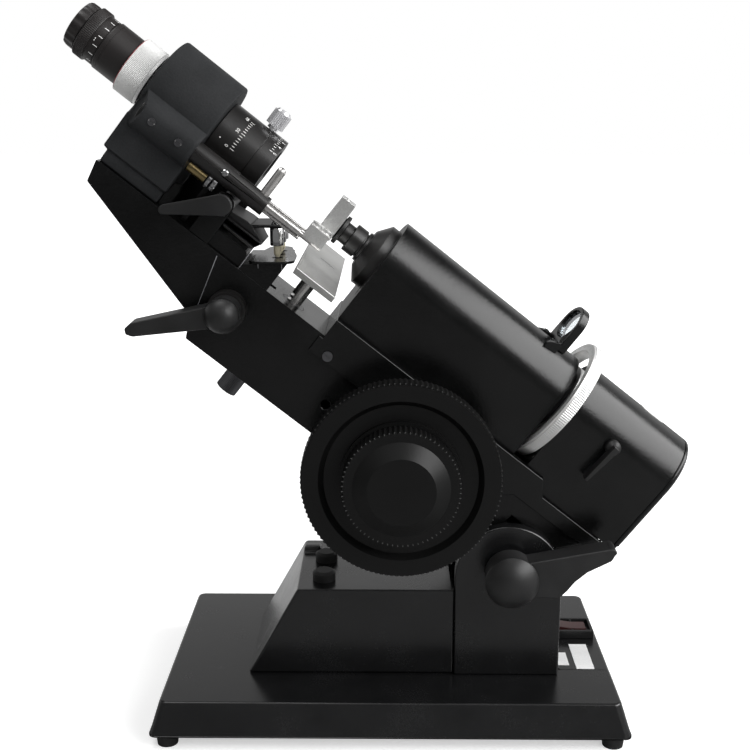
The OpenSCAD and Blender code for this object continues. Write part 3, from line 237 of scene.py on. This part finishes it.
def discMetal(name, colour, dark, centre, radius):
    # bright metal with a dark disc beyond the centre
    f = newFinish(name)
    along, outward = f.turned(centre, alongAxis)
    disc = (along > 0) * (outward < radius)
    fine = f.noise(1200)
    bright = f.mix(shaded(colour, 0.85), colour, f.ramp(fine, 0.3, 0.7))
    return f.finish(Base_Color=f.mix(bright, dark, disc),
                    Metallic=0.8 - disc * 0.8, Roughness=0.34 + (fine - 0.5) * 0.2 + disc * 0.1,
                    Normal=f.bump(fine, 0.015, 0.3))


def redEdged(name, colour, red, edge):
    # pale turned aluminium with a thin painted line at its upper edge
    f = newFinish(name)
    along, outward = f.turned(edge, alongAxis)
    fine = f.noise(900)
    pale = f.mix(shaded(colour, 0.9), colour, f.ramp(fine, 0.3, 0.7))
    return f.finish(Base_Color=f.mix(pale, red, along < 0), Metallic=0.4,
                    Roughness=0.38 + (fine - 0.5) * 0.15, Normal=f.bump(fine, 0.01, 0.25))


def moulded(name, colour, shine, grain=1500, depth=0.03, gloss=0.5):
    f = newFinish(name)
    fine = f.noise(grain, 2)
    cloud = f.noise(50)
    return f.finish(Base_Color=f.mix(colour, shaded(colour, 1.35, 0.002), f.ramp(cloud, 0.35, 0.65)),
                    Roughness=shine + (fine - 0.5) * 0.12 + (cloud - 0.5) * 0.1, Specular_IOR_Level=gloss,
                    Normal=f.bump(fine, depth, 0.35))


def glass(name, colour, tint=0.12):
    f = newFinish(name)
    smear = f.ramp(f.noise(25), 0, 1) * 0.06
    clear = f.node("ShaderNodeBsdfTransparent", {"Color": colour})
    shiny = f.node("ShaderNodeBsdfGlossy", {"Color": (0.95, 0.97, 1), "Roughness": smear})
    edge = f.node("ShaderNodeLayerWeight", {"Blend": 0.25}, out="Facing")
    return f.show(f.node("ShaderNodeMixShader", {0: edge * 0.6 + tint, 1: clear, 2: shiny}))


wheelCentre = (114.5, -89)  # u and w of the power wheel
eyeLine = (onAxis(-190, 0, 0), alongAxis)
wheelLine = (onAxis(wheelCentre[0], -70, wheelCentre[1]), across)
finishes = {
    "black_enamel": paint("enamelBlack", (0.004, 0.0041, 0.0044), 0.25, 700, 0.09, 0.5, 0.6),
    "frame_enamel": paint("enamelSatin", (0.0015, 0.0016, 0.0016), 0.23, 620, 0.12, 0.7, 0.4),
    "head_enamel": paint("enamelTextured", (0.018, 0.0187, 0.0197), 0.6, 800, 0.14, 0.7, 0.08),
    "grey_sheet": paint("sheetGrey", (0.17, 0.17, 0.18), 0.45, 900, 0.03, 0.3),
    "black_rubber": moulded("rubberBlack", (0.012, 0.012, 0.012), 0.6, 700, 0.06, 0.35),
    "white_plate": paint("plateWhite", (0.78, 0.78, 0.78), 0.35, 900, 0.01, 0.2),
    "black_plastic": moulded("plasticBlack", (0.005, 0.005, 0.0052), 0.38),
    "red_plastic": moulded("plasticRed", (0.03, 0.007, 0.007), 0.35),
    "bright_steel": plainMetal("steelGround", (0.74, 0.725, 0.71), 0.22, 500, 0.004, 0.9),
    "dark_plastic": moulded("plasticDark", (0.009, 0.009, 0.0092), 0.46, 1300, 0.06, 0.45),
    "optical_glass": glass("glassClear", (0.93, 0.96, 0.97)),
    "green_glass": glass("glassGreen", (0.25, 0.62, 0.35), 0.15),
    "black_anodised": turnedMetal("anodisedBlack", (0.012, 0.0112, 0.011), 0.34, eyeLine, 0.5, 0),
    "bright_aluminium": turnedMetal("aluminiumTurned", (0.74, 0.74, 0.73), 0.36, eyeLine, 0.6, 0.5),
    "satin_aluminium": plainMetal("aluminiumSatin", (0.66, 0.66, 0.645), 0.42, 1400, 0.02),
    "brass": plainMetal("brassCut", (0.62, 0.48, 0.23), 0.33),
    "dark_steel": plainMetal("steelDark", (0.2, 0.2, 0.21), 0.38),
    "chrome": plainMetal("chromePolished", (0.85, 0.85, 0.87), 0.14, 500, 0.004, 0.7),
    "cream_plastic": moulded("nylonCream", (0.72, 0.66, 0.48), 0.4),
    "eyepiece_brown": turnedMetal("anodisedBrown", (0.017, 0.0145, 0.0142), 0.4, eyeLine, 0.5, 0),
    "polished": plainMetal("chromeMirror", (0.8, 0.8, 0.81), 0.07, 500, 0.002),
    "protractor": redEdged("aluminiumRibbed", (0.9, 0.9, 0.89), (0.4, 0.08, 0.09), onAxis(-168.5, 0, 0)),
    # painted highlight grey for the teeth's glints; it also colours the table's faint dark arcs
    "glint": paint("glintGrey", (0.05, 0.05, 0.05), 0.35, 300, 0.01, 0.2),
    # painted highlight grey for the bright lines along the arm's edges
    "highlightLine": paint("highlightLineGrey", (0.16, 0.16, 0.17), 0.4, 300, 0.01, 0.2),
    "lamp_parts": glass("lampGlass", (0.9, 0.9, 0.86), 0.2),
    "holder_block": discMetal("aluminiumHolder", (0.72, 0.72, 0.71), (0.006, 0.006, 0.006),
                              onAxis(-6.5, 0, 0), 11.5 * mm),
    "wheel_plastic": turnedMetal("plasticWheel", (0.0028, 0.0028, 0.0028), 0.42, wheelLine, 0.9, 0,
                                 0.015, 0.3),
}
print("finishes made:", len(finishes))

# dressing the frame: the casings get rounded edges, which catch the light as the real ones do
edgeWidths = {
    "base_casting": 1.2, "pedestal": 1.8, "yoke_ears": 1.2, "switch_box": 0.5, "power_rocker": 0.35,
    "power_inlet": 0.4, "bottom_plate": 0.4, "clamp_lever": 0.9, "clamp_cap": 0.4, "arm_casting": 0.6,
    "arm_rear_cover": 0.4, "head_housing": 1.2, "chassis": 0.5, "collimator_cover": 0.5,
    "lamp_house": 0.5, "end_cap": 0.9, "nosepiece": 0.3, "holder_sleeve": 0.5, "marker_bracket": 0.5,
    "ink_pad": 0.3, "axis_ring": 0.12, "magnifier_bracket": 0.4, "magnifier_ring": 0.5, "lens_holder": 0.3,
    "lens_table": 0.5, "table_lever": 0.9, "marker_arm": 0.7, "filter_lever": 0.3, "prism_barrel": 0.4,
    "blank_plates": 0.12,
}
edges = {"steps": 2, "corner": 24, "weld": 2e-6, "flat": 0.4, "normalWeight": 60}
special = {"head_housing": "head_enamel", "lens_holder": "holder_block"}


def crisp(node, width, finish, e):
    work = bmesh.new()
    work.from_mesh(nodes[node].data)
    bmesh.ops.remove_doubles(work, verts=work.verts, dist=e["weld"])
    bmesh.ops.dissolve_limit(work, angle_limit=math.radians(e["flat"]), verts=work.verts, edges=work.edges)
    mesh = bpy.data.meshes.new(node + "Shell")
    work.to_mesh(mesh)
    work.free()
    mesh.shade_smooth()
    shell = newObject(node + "Shell", mesh)
    bevel = shell.modifiers.new("edges", "BEVEL")
    bevel.width = width * mm
    bevel.segments = e["steps"]
    bevel.limit_method = "ANGLE"
    bevel.angle_limit = math.radians(e["corner"])
    bevel.use_clamp_overlap = False
    weigh = shell.modifiers.new("normals", "WEIGHTED_NORMAL")
    weigh.mode = "FACE_AREA"
    weigh.weight = e["normalWeight"]
    done = bpy.data.meshes.new_from_object(shell.evaluated_get(bpy.context.evaluated_depsgraph_get()))
    shell.modifiers.clear()
    shell.data = done
    done.materials.clear()
    done.materials.append(finish)
    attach(shell, bodyOf[node])
    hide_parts(node)


for node, width in edgeWidths.items():
    crisp(node, width, finishes[special.get(node, slotOf[node])], edges)
for node, part in nodes.items():
    if node not in edgeWidths:
        part.material_slots[0].link = "OBJECT"
        part.material_slots[0].material = finishes[slotOf[node]]
print("edges rounded:", len(edgeWidths))

# turned parts, made anew with their grooves and ribs, and small fittings: all in millimetres on the axis


def layPiece(name, work, node, finish):
    bmesh.ops.recalc_face_normals(work, faces=work.faces)
    bmesh.ops.transform(work, matrix=optics, verts=work.verts)
    mesh = bpy.data.meshes.new(name)
    work.to_mesh(mesh)
    work.free()
    mesh.materials.append(finish)
    made = newObject(name, mesh)
    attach(made, bodyOf[node])
    return made


def laySmooth(name, work, node, finish, instead=False):
    made = layPiece(name, work, node, finish)
    made.data.shade_smooth()
    made.data.set_sharp_from_angle(angle=math.radians(28))
    if instead:
        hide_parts(node)


def turning(base, along, side):
    # gives the place on a turned part for a height along it, an angle round it and a radius
    base, other = Vector(base), along.cross(side)
    return lambda h, angle, r: base + along * h + (side * math.cos(angle) + other * math.sin(angle)) * r


def spin(work, rows, count, bend, waves=0):
    # rows run round the closed section: height, radius and, where there are ribs, their depth
    rings = []
    for h, radius, *ribs in rows:
        depth = ribs[0] if ribs else 0
        ring = []
        for k in range(count):
            turn = math.tau * k / count
            dip = depth * (0.5 - 0.5 * math.cos(turn * waves))
            ring.append(work.verts.new(bend(h, turn, radius - dip)))
        rings.append(ring)
    for i, ring in enumerate(rings):
        following = rings[(i + 1) % len(rings)]
        for k in range(count):
            work.faces.new((ring[k], ring[(k + 1) % count], following[(k + 1) % count], following[k]))


def addBar(work, corners, lift):
    low = [work.verts.new(c) for c in corners]
    high = [work.verts.new(c + lift(c)) for c in corners]
    count = len(corners)
    work.faces.new(low[::-1])
    work.faces.new(high)
    for i in range(count):
        work.faces.new((low[i], low[(i + 1) % count], high[(i + 1) % count], high[i]))


ownAxis = turning((0, 0, 0), uWay, wWay)
eyepiece = {
    "cup": ((-209.2, 12.4), (-209.4, 13.4), (-208.9, 14.7, 0.3), (-207.6, 15.4, 0.7), (-204, 15.6, 0.7),
            (-202.2, 15.4, 0.3), (-202, 14.6), (-201.4, 14.6), (-201.2, 16.3), (-201.2, 11), (-203.4, 9)),
    "cupRibs": 16, "cupSteps": 192,
    "grip": ((-201.25, 16.3), (-200.8, 16.9, 0.25), (-194.6, 16.9, 0.25), (-194.2, 16.6), (-194.2, 11.1),
             (-201.25, 11.1)),
    "gripRibs": 90, "gripSteps": 360,
    "barrel": ((-194.2, 16.6), (-194, 15.7), (-188, 15.7), (-187.9, 15), (-187.1, 15), (-187, 16.1),
               (-186.6, 16.4), (-184.2, 16.4), (-184.1, 16.25), (-183.9, 16.25), (-183.8, 16.4),
               (-169.7, 16.4), (-169.4, 16.2), (-169.4, 11.1), (-185.4, 11.1), (-185.4, 9), (-201, 9),
               (-194.3, 11)),
    "barrelSteps": 128,
}


def turnEyepiece(e):
    work = bmesh.new()
    spin(work, e["cup"], e["cupSteps"], ownAxis, e["cupRibs"])
    spin(work, e["grip"], e["gripSteps"], ownAxis, e["gripRibs"])
    spin(work, e["barrel"], e["barrelSteps"], ownAxis)
    laySmooth("eyepieceTurned", work, "eyepiece", finishes["eyepiece_brown"], True)


turnEyepiece(eyepiece)

protractor = {
    "rows": ((-169, 11.2), (-169, 18.4), (-168.6, 18.95, 0.28), (-154.4, 18.95, 0.28), (-154.2, 18.6),
             (-152.4, 18.6), (-152.2, 18.4), (-152.2, 11.2)),
    "ribs": 130, "steps": 520,
}


def turnProtractor(p):
    work = bmesh.new()
    spin(work, p["rows"], p["steps"], ownAxis, p["ribs"])
    laySmooth("protractorTurned", work, "protractor_ring", finishes["protractor"], True)


turnProtractor(protractor)

markerTubes = {
    "u": -25.7, "w": -36.5, "across": (-17, 0, 17), "sleeveSteps": 40, "tipSteps": 32,
    "sleeve": ((7.3, 2.6), (7.3, 4.1), (7.7, 4.4), (17.9, 4.4), (18.5, 4.1), (18.5, 2.6)),
    "tip": ((20.6, 2.3), (20.6, 3.6), (21.6, 3.2), (22.6, 2.3)),
}


def fitMarker(m):
    # bright sleeves on the marker's three tubes, which stand upright in the room
    work = bmesh.new()
    upright = Vector((-math.sin(tilt), 0, math.cos(tilt)))
    level = Vector((math.cos(tilt), 0, math.sin(tilt)))
    for y in m["across"]:
        bend = turning((m["u"], y, m["w"]), upright, level)
        spin(work, m["sleeve"], m["sleeveSteps"], bend)
        spin(work, m["tip"], m["tipSteps"], bend)
    laySmooth("markerSleeves", work, "marker_arm", finishes["polished"])


fitMarker(markerTubes)

damper = {
    "middle": (0, -20, -25.3), "rodSteps": 32, "nutSteps": 36, "nuts": (-88.6, -85),
    "rod": ((-102.6, 2.6), (-102.6, 2.9), (-89.5, 2.9), (-89.5, 2.6)),
    "nut": ((0, 2.6), (0, 3.9), (0.5, 4.5), (2.3, 4.5), (2.8, 3.9), (2.8, 2.6)),
}


def fitDamper(d):
    # a brass rod with two nuts, under the head
    bend = turning(d["middle"], uWay, wWay)
    work = bmesh.new()
    spin(work, d["rod"], d["rodSteps"], bend)
    laySmooth("damperRod", work, "marker_bracket", finishes["brass"])
    work = bmesh.new()
    for start in d["nuts"]:
        spin(work, [(start + h, radius) for h, radius in d["nut"]], d["nutSteps"], bend)
    laySmooth("damperNuts", work, "marker_bracket", finishes["chrome"])


fitDamper(damper)

# each filling: its node, its two sides across the axis, and its outline in u and w
fillings = {
    "damperFoot": ("marker_bracket", -27, -19, (
        (-103.6, -54.2), (-103.6, -45.8), (-102.6, -38), (-98.5, -36.5), (-97, -40), (-97, -54.2))),
    "padRest": ("ink_pad", -31, 22, (
        (-66, -54.2), (-66, -44.5), (-64, -43.4), (-43, -43.4), (-41.3, -45), (-41.3, -54.2))),
    "rearWeb": ("arm_casting", -30, -28.5, (
        (229, -71), (232, -76), (234.8, -75.6), (245.6, -61.4), (253.5, -55.3), (252, -51), (240, -56))),
}
fillingEdge = 0.4


def fillGap(name, node, low, high, plan):
    work = bmesh.new()
    front = [work.verts.new((u, low, w)) for u, w in plan]
    back = [work.verts.new((u, high, w)) for u, w in plan]
    work.faces.new(front)
    work.faces.new(back[::-1])
    for i in range(len(plan)):
        after = (i + 1) % len(plan)
        work.faces.new((front[i], back[i], back[after], front[after]))
    bmesh.ops.bevel(work, geom=work.edges[:], offset=fillingEdge, segments=2, affect="EDGES")
    laySmooth(name, work, node, finishes["frame_enamel"])


for name, filling in fillings.items():
    fillGap(name, *filling)

sleeveScrew = {"head": (-80.8, -41.2, -12.1), "rows": ((0, 0.1), (0, 2), (0.5, 2.1), (0.9, 1.7), (1, 0.1)),
               "steps": 28}


def fitSleeveScrew(s):
    work = bmesh.new()
    spin(work, s["rows"], s["steps"], turning(s["head"], nearWay, uWay))
    laySmooth("sleeveScrew", work, "holder_sleeve", finishes["polished"])


fitSleeveScrew(sleeveScrew)

# faint dark arcs and a pale crescent laid on the table's face: radius, first and last degree
tableMarks = {
    "face": -23.49, "half": 0.12, "depth": 0.04, "step": 6,
    "arcs": {"tableRings": ("glint", ((9, 20, 110), (6.5, 30, 120))),
             "tableCrescent": ("white_plate", ((4.5, 200, 300),))},
}


def markTable(t):
    for name, (finish, arcs) in t["arcs"].items():
        work = bmesh.new()
        for radius, first, last in arcs:
            inner, outer = radius - t["half"], radius + t["half"]
            for turn in range(first, last, t["step"]):
                start, end = math.radians(turn), math.radians(turn + t["step"])
                corners = [Vector((r * math.cos(a), r * math.sin(a), t["face"]))
                           for a, r in ((start, inner), (end, inner), (end, outer), (start, outer))]
                addBar(work, corners, lambda c: wWay * t["depth"])
        layPiece(name, work, "lens_table", finishes[finish])


markTable(tableMarks)

screwRims = {"us": (-132.2, -112.9), "y": -44, "w": -14.6, "steps": 28,
             "rows": ((0, 1.5), (0.35, 1.6), (0.4, 2), (0.3, 2.3), (0, 2.4))}


def fitScrewRims(s):
    work = bmesh.new()
    for u in s["us"]:
        spin(work, s["rows"], s["steps"], turning((u, s["y"], s["w"]), nearWay, uWay))
    laySmooth("screwRims", work, "sleeve_fairing", finishes["bright_steel"])


fitScrewRims(screwRims)

fairing = {
    "left": -146.9, "length": 43.9, "lengthSteps": 70, "low": -26.6, "height": 25.4, "heightSteps": 36,
    "face": -32.4, "root": -31.5, "sunk": -0.9, "rise": 12.5, "middle": -14, "half": 12.6, "square": 2.4,
    "crown": 0.8, "ridge": -140, "ridgeMiddle": -13.5, "leanUp": 4.9, "leanDown": 2.3, "shortest": 0.5,
    "slope": 1.6, "fall": -105, "fallLength": 2, "fallDepth": 0.12,
}


def swellFairing(f):
    # the swelling of the head over the holder's sleeve, with its sloping left end
    work = bmesh.new()
    us = [f["left"] + f["length"] * i / f["lengthSteps"] for i in range(f["lengthSteps"] + 1)]
    ws = [f["low"] + f["height"] * j / f["heightSteps"] for j in range(f["heightSteps"] + 1)]
    rows = []
    for u in us + [us[-1]]:
        fallen = min(1, max(0, (u - f["fall"]) / f["fallLength"]))
        row = []
        for w in ws:
            lean = (w - f["ridgeMiddle"]) / 10
            ridge = f["ridge"] - (f["leanUp"] if lean > 0 else f["leanDown"]) * lean * lean
            start = min(1, max(0, (u - f["left"]) / max(f["shortest"], ridge - f["left"])))
            dome = max(0, 1 - abs((w - f["middle"]) / f["half"]) ** f["square"]) ** f["crown"]
            rise = f["sunk"] + f["rise"] * dome * (1 - fallen ** 2 * f["fallDepth"]) * start ** f["slope"]
            row.append(work.verts.new((u, f["face"] - rise, w)))
        rows.append(row)
    for v in rows[-1]:
        v.co.y = f["root"]
    for a, b in zip(rows, rows[1:]):
        for j in range(len(ws) - 1):
            work.faces.new((a[j], a[j + 1], b[j + 1], b[j]))
    bmesh.ops.contextual_create(work, geom=[e for e in work.edges if e.is_boundary])
    laySmooth("fairingSwelling", work, "sleeve_fairing", finishes["head_enamel"], True)


swellFairing(fairing)

# painted highlights: light-grey wedges on the front corners of the wheel's and the knob's teeth, standing in
# for the light they catch
glints = {
    "lift": 0.06, "inside": 0.1, "outside": 0.3,
    "rims": {"power_wheel": {"teeth": 120, "inner": 60.3, "outer": 61.25, "front": -76},
             "power_knob": {"teeth": 72, "inner": 34.5, "outer": 35.65, "front": -91}},
}


def fitGlints(g):
    for node, rim in g["rims"].items():
        work = bmesh.new()
        centre = Vector((wheelCentre[0], rim["front"], wheelCentre[1]))
        for i in range(rim["teeth"]):
            angle = math.tau * i / rim["teeth"]
            out = Vector((math.cos(angle), 0, math.sin(angle)))
            side = Vector((-out.z, 0, out.x))
            corners = [centre + out * radius + side * half
                       for radius, half in ((rim["inner"], g["inside"]), (rim["outer"], g["outside"]),
                                            (rim["outer"], -g["outside"]), (rim["inner"], -g["inside"]))]
            addBar(work, corners, lambda c: nearWay * g["lift"])
        layPiece(node + "Glints", work, node, finishes["glint"])


fitGlints(glints)

# painted highlights: fine light-grey lines along the edges of the arm and the ink pad's block, where the real
# edges catch the light: the two ends of each in u and w
edgeHighlights = {
    "front": -35, "half": 0.28, "lift": 0.1, "taper": 0.5,
    "ends": (((-55.3, -56), (-46.4, -88)), ((-40.4, -43.2), (-40.3, -54)), ((-34.2, -42.2), (-30.9, -46.6)),
             ((-21.9, -34.6), (-18.6, -38.8))),
}


def fitEdgeHighlights(s):
    work = bmesh.new()
    for ends in s["ends"]:
        first, last = [Vector((u, s["front"], w)) for u, w in ends]
        run = (last - first).normalized()
        side = Vector((-run.z, 0, run.x)) * s["half"]
        corners = [first - side, last - side * s["taper"], last + side * s["taper"], first + side]
        addBar(work, corners, lambda c: nearWay * s["lift"])
    layPiece("armEdgeHighlights", work, "ink_pad", finishes["highlightLine"])


fitEdgeHighlights(edgeHighlights)
print("turned parts and fittings made")

# marks and numerals, engraved and filled with paint
markPaint = moulded("markWhite", (0.78, 0.78, 0.76), 0.5)
markInk = moulded("markBlack", (0.03, 0.03, 0.03), 0.5)
engraving = {"sunk": 0.04, "height": 0.07, "numeralLift": 0.02, "numeralHeight": 0.03, "curveSteps": 3}


def drumPoint(u, turn, radius):
    # a place on a drum round the axis: turn is in degrees from its top towards the power wheel's side
    angle = math.radians(turn)
    return Vector((u, -radius * math.sin(angle), radius * math.cos(angle)))


def drumBar(work, u, turn, radius, length, breadth):
    half = math.degrees(breadth / 2 / radius)
    corners = [drumPoint(u + du, turn + side * half, radius - engraving["sunk"])
               for du, side in ((0, -1), (length, -1), (length, 1), (0, 1))]
    addBar(work, corners, lambda c: Vector((0, c.y, c.z)).normalized() * engraving["height"])


def drumNumeral(work, text, size, u, turn, radius):
    curve = bpy.data.curves.new("numeral", "FONT")
    curve.body = text
    curve.size = size
    curve.align_x = curve.align_y = "CENTER"
    curve.extrude = engraving["numeralHeight"]
    curve.resolution_u = engraving["curveSteps"]
    holder = newObject("numeral", curve)
    flat = bpy.data.meshes.new_from_object(holder.evaluated_get(bpy.context.evaluated_depsgraph_get()))
    bpy.data.objects.remove(holder)
    known = set(work.verts)
    work.from_mesh(flat)
    bpy.data.meshes.remove(flat)
    for v in work.verts:
        if v not in known:
            v.co = drumPoint(u - v.co.y, turn - math.degrees(v.co.x / radius),
                             radius + engraving["numeralLift"] + v.co.z)


prismScale = {
    "radius": 22.2, "numeralSize": 3.1,
    "numerals": -91.3, "row": -88.7, "first": 91.6, "step": -5, "count": 13,
    "long": 2.7, "short": 2.1, "breadth": 0.34, "every": 6, "words": ("0", "30", "60"),
    "frontNumerals": -65.2, "frontRow": -69.4, "frontFirst": 53.6, "frontStep": -16, "frontCount": 7,
    "frontLong": 2.2, "frontBreadth": 0.3, "frontWords": ("5", "4", "3", "2", "1"),
    "thirdStart": 0.8, "thirdLong": 1.6, "thirdBreadth": 0.28, "dot": (-97.8, 87.5), "dotSize": 0.8,
}


def engravePrismBarrel(p):
    work = bmesh.new()
    radius, size = p["radius"], p["numeralSize"]
    for i in range(p["count"]):
        length = p["short"] if i % p["every"] else p["long"]
        drumBar(work, p["row"], p["first"] + i * p["step"], radius, length, p["breadth"])
    for i, text in enumerate(p["words"]):
        drumNumeral(work, text, size, p["numerals"], p["first"] + p["every"] * i * p["step"], radius)
    for i in range(p["frontCount"]):
        turn = p["frontFirst"] + i * p["frontStep"]
        drumBar(work, p["frontRow"], turn, radius, p["frontLong"], p["frontBreadth"])
        for third in (1, 2):
            drumBar(work, p["frontRow"] + p["thirdStart"], turn + third * p["frontStep"] / 3, radius,
                    p["thirdLong"], p["thirdBreadth"])
        if i < len(p["frontWords"]):
            drumNumeral(work, p["frontWords"][i], size, p["frontNumerals"], turn, radius)
    drumBar(work, *p["dot"], radius, p["dotSize"], p["dotSize"])
    layPiece("prismScale", work, "prism_barrel", markPaint)


engravePrismBarrel(prismScale)

eyeScale = {"radius": 15.7, "row": -191.2, "first": 10, "step": 23, "count": 15, "length": 3, "breadth": 0.38,
            "dash": (-192.1, 90), "dashLength": 0.5, "dashBreadth": 2.2}


def engraveEyepiece(e):
    work = bmesh.new()
    for i in range(e["count"]):
        drumBar(work, e["row"], e["first"] + i * e["step"], e["radius"], e["length"], e["breadth"])
    drumBar(work, *e["dash"], e["radius"], e["dashLength"], e["dashBreadth"])
    layPiece("eyepieceScale", work, "eyepiece", markPaint)


engraveEyepiece(eyeScale)

axisScale = {"face": 171.03, "outer": 41.6, "step": 5, "half": 0.14, "height": 0.07,
             "every30": 38.2, "every10": 39.2, "every5": 40}


def engraveAxisRing(a):
    work = bmesh.new()
    for turn in range(0, 360, a["step"]):
        inner = a["every30"] if turn % 30 == 0 else a["every10"] if turn % 10 == 0 else a["every5"]
        angle = math.radians(turn)
        outward = Vector((0, -math.sin(angle), math.cos(angle)))
        side = Vector((0, math.cos(angle), math.sin(angle))) * a["half"]
        corners = [uWay * a["face"] + outward * r + side * s
                   for r, s in ((inner, -1), (a["outer"], -1), (a["outer"], 1), (inner, 1))]
        addBar(work, corners, lambda c: uWay * -a["height"])
    layPiece("axisScale", work, "axis_ring", markInk)


engraveAxisRing(axisScale)
print("scales engraved")

# the floor and the light
studio = {
    "floor": 8, "floorColour": (0.86, 0.86, 0.86), "floorShade": (0.26, 0.26, 0.26), "floorGlow": 0.5,
    "near": 0.45, "far": 1.3, "farGlow": 0.6, "behind": 0.75, "behindLow": 0.25, "behindHigh": 0.08,
    "front": 0.16, "frontHigh": 0.45, "fill": 0.3,
}
lamps = {
    "rightBox": {"place": (1.35, -0.55, 1.05), "target": (0.02, 0, 0.25), "size": (2.2, 1.0), "power": 44},
    "topBox": {"place": (-0.35, 0.1, 1.7), "target": (0, 0, 0.2), "size": (0.9, 0.9), "power": 9},
}


def setFloor(s):
    work = bmesh.new()
    bmesh.ops.create_grid(work, x_segments=1, y_segments=1, size=s["floor"])
    mesh = bpy.data.meshes.new("floor")
    work.to_mesh(mesh)
    work.free()
    floor = newObject("floor", mesh)
    f = newFinish("floorPale")
    distance = f.vector("LENGTH", f.place, out="Value")
    inFront = f.ramp(0.0 - f.part("Y"), -0.25, 0.05)  # shiny sides mirror this part darker
    colour = f.mix(s["floorColour"], s["floorShade"], f.ray("Glossy") * inFront)
    diffuse = f.node("ShaderNodeBsdfDiffuse", {"Color": colour})
    glow = f.ramp(distance, s["near"], s["far"]) * s["farGlow"] + s["floorGlow"]
    lit = f.node("ShaderNodeAddShader", {0: diffuse, 1: f.node("ShaderNodeEmission", {"Color": (1, 1, 1),
                                                                                     "Strength": glow})})
    mesh.materials.append(f.show(f.node("ShaderNodeMixShader", {0: f.ray("Camera"), 1: diffuse, 2: lit})))


def setWorld(s):
    # what the camera sees is white; what the gloss mirrors is a softly graded room
    world = bpy.data.worlds.new("studio")
    bpy.context.scene.world = world
    sky = Finish(world, "Generated")
    height = sky.part("Z")
    front = sky.ramp(height, 0.3, 0.7, s["front"], s["frontHigh"])
    low = sky.ramp(height, -0.1, 0.2, s["behindLow"], s["behind"])
    rear = sky.ramp(height, 0.35, 0.6, low, s["behindHigh"])
    mirrored = sky.ramp(sky.part("Y"), -0.25, 0.25, front, rear)
    glossy = sky.ray("Glossy")
    white = sky.ray("Camera") + sky.ray("Transmission")
    strength = white + (1 - white) * (glossy * mirrored + (1 - glossy) * s["fill"])
    sky.show(sky.node("ShaderNodeBackground", {"Color": (1, 1, 1), "Strength": strength}),
             "ShaderNodeOutputWorld")


def addLamp(name, lamp):
    data = bpy.data.lights.new(name, "AREA")
    data.shape = "RECTANGLE"
    data.size, data.size_y = lamp["size"]
    data.energy = lamp["power"]
    made = newObject(name, data)
    made.location = lamp["place"]
    aim = Vector(lamp["target"]) - Vector(lamp["place"])
    made.rotation_euler = aim.to_track_quat("-Z", "Y").to_euler()


setFloor(studio)
setWorld(studio)
for name, lamp in lamps.items():
    addLamp(name, lamp)
bpy.context.scene.view_settings.view_transform = "Standard"
print("studio set")
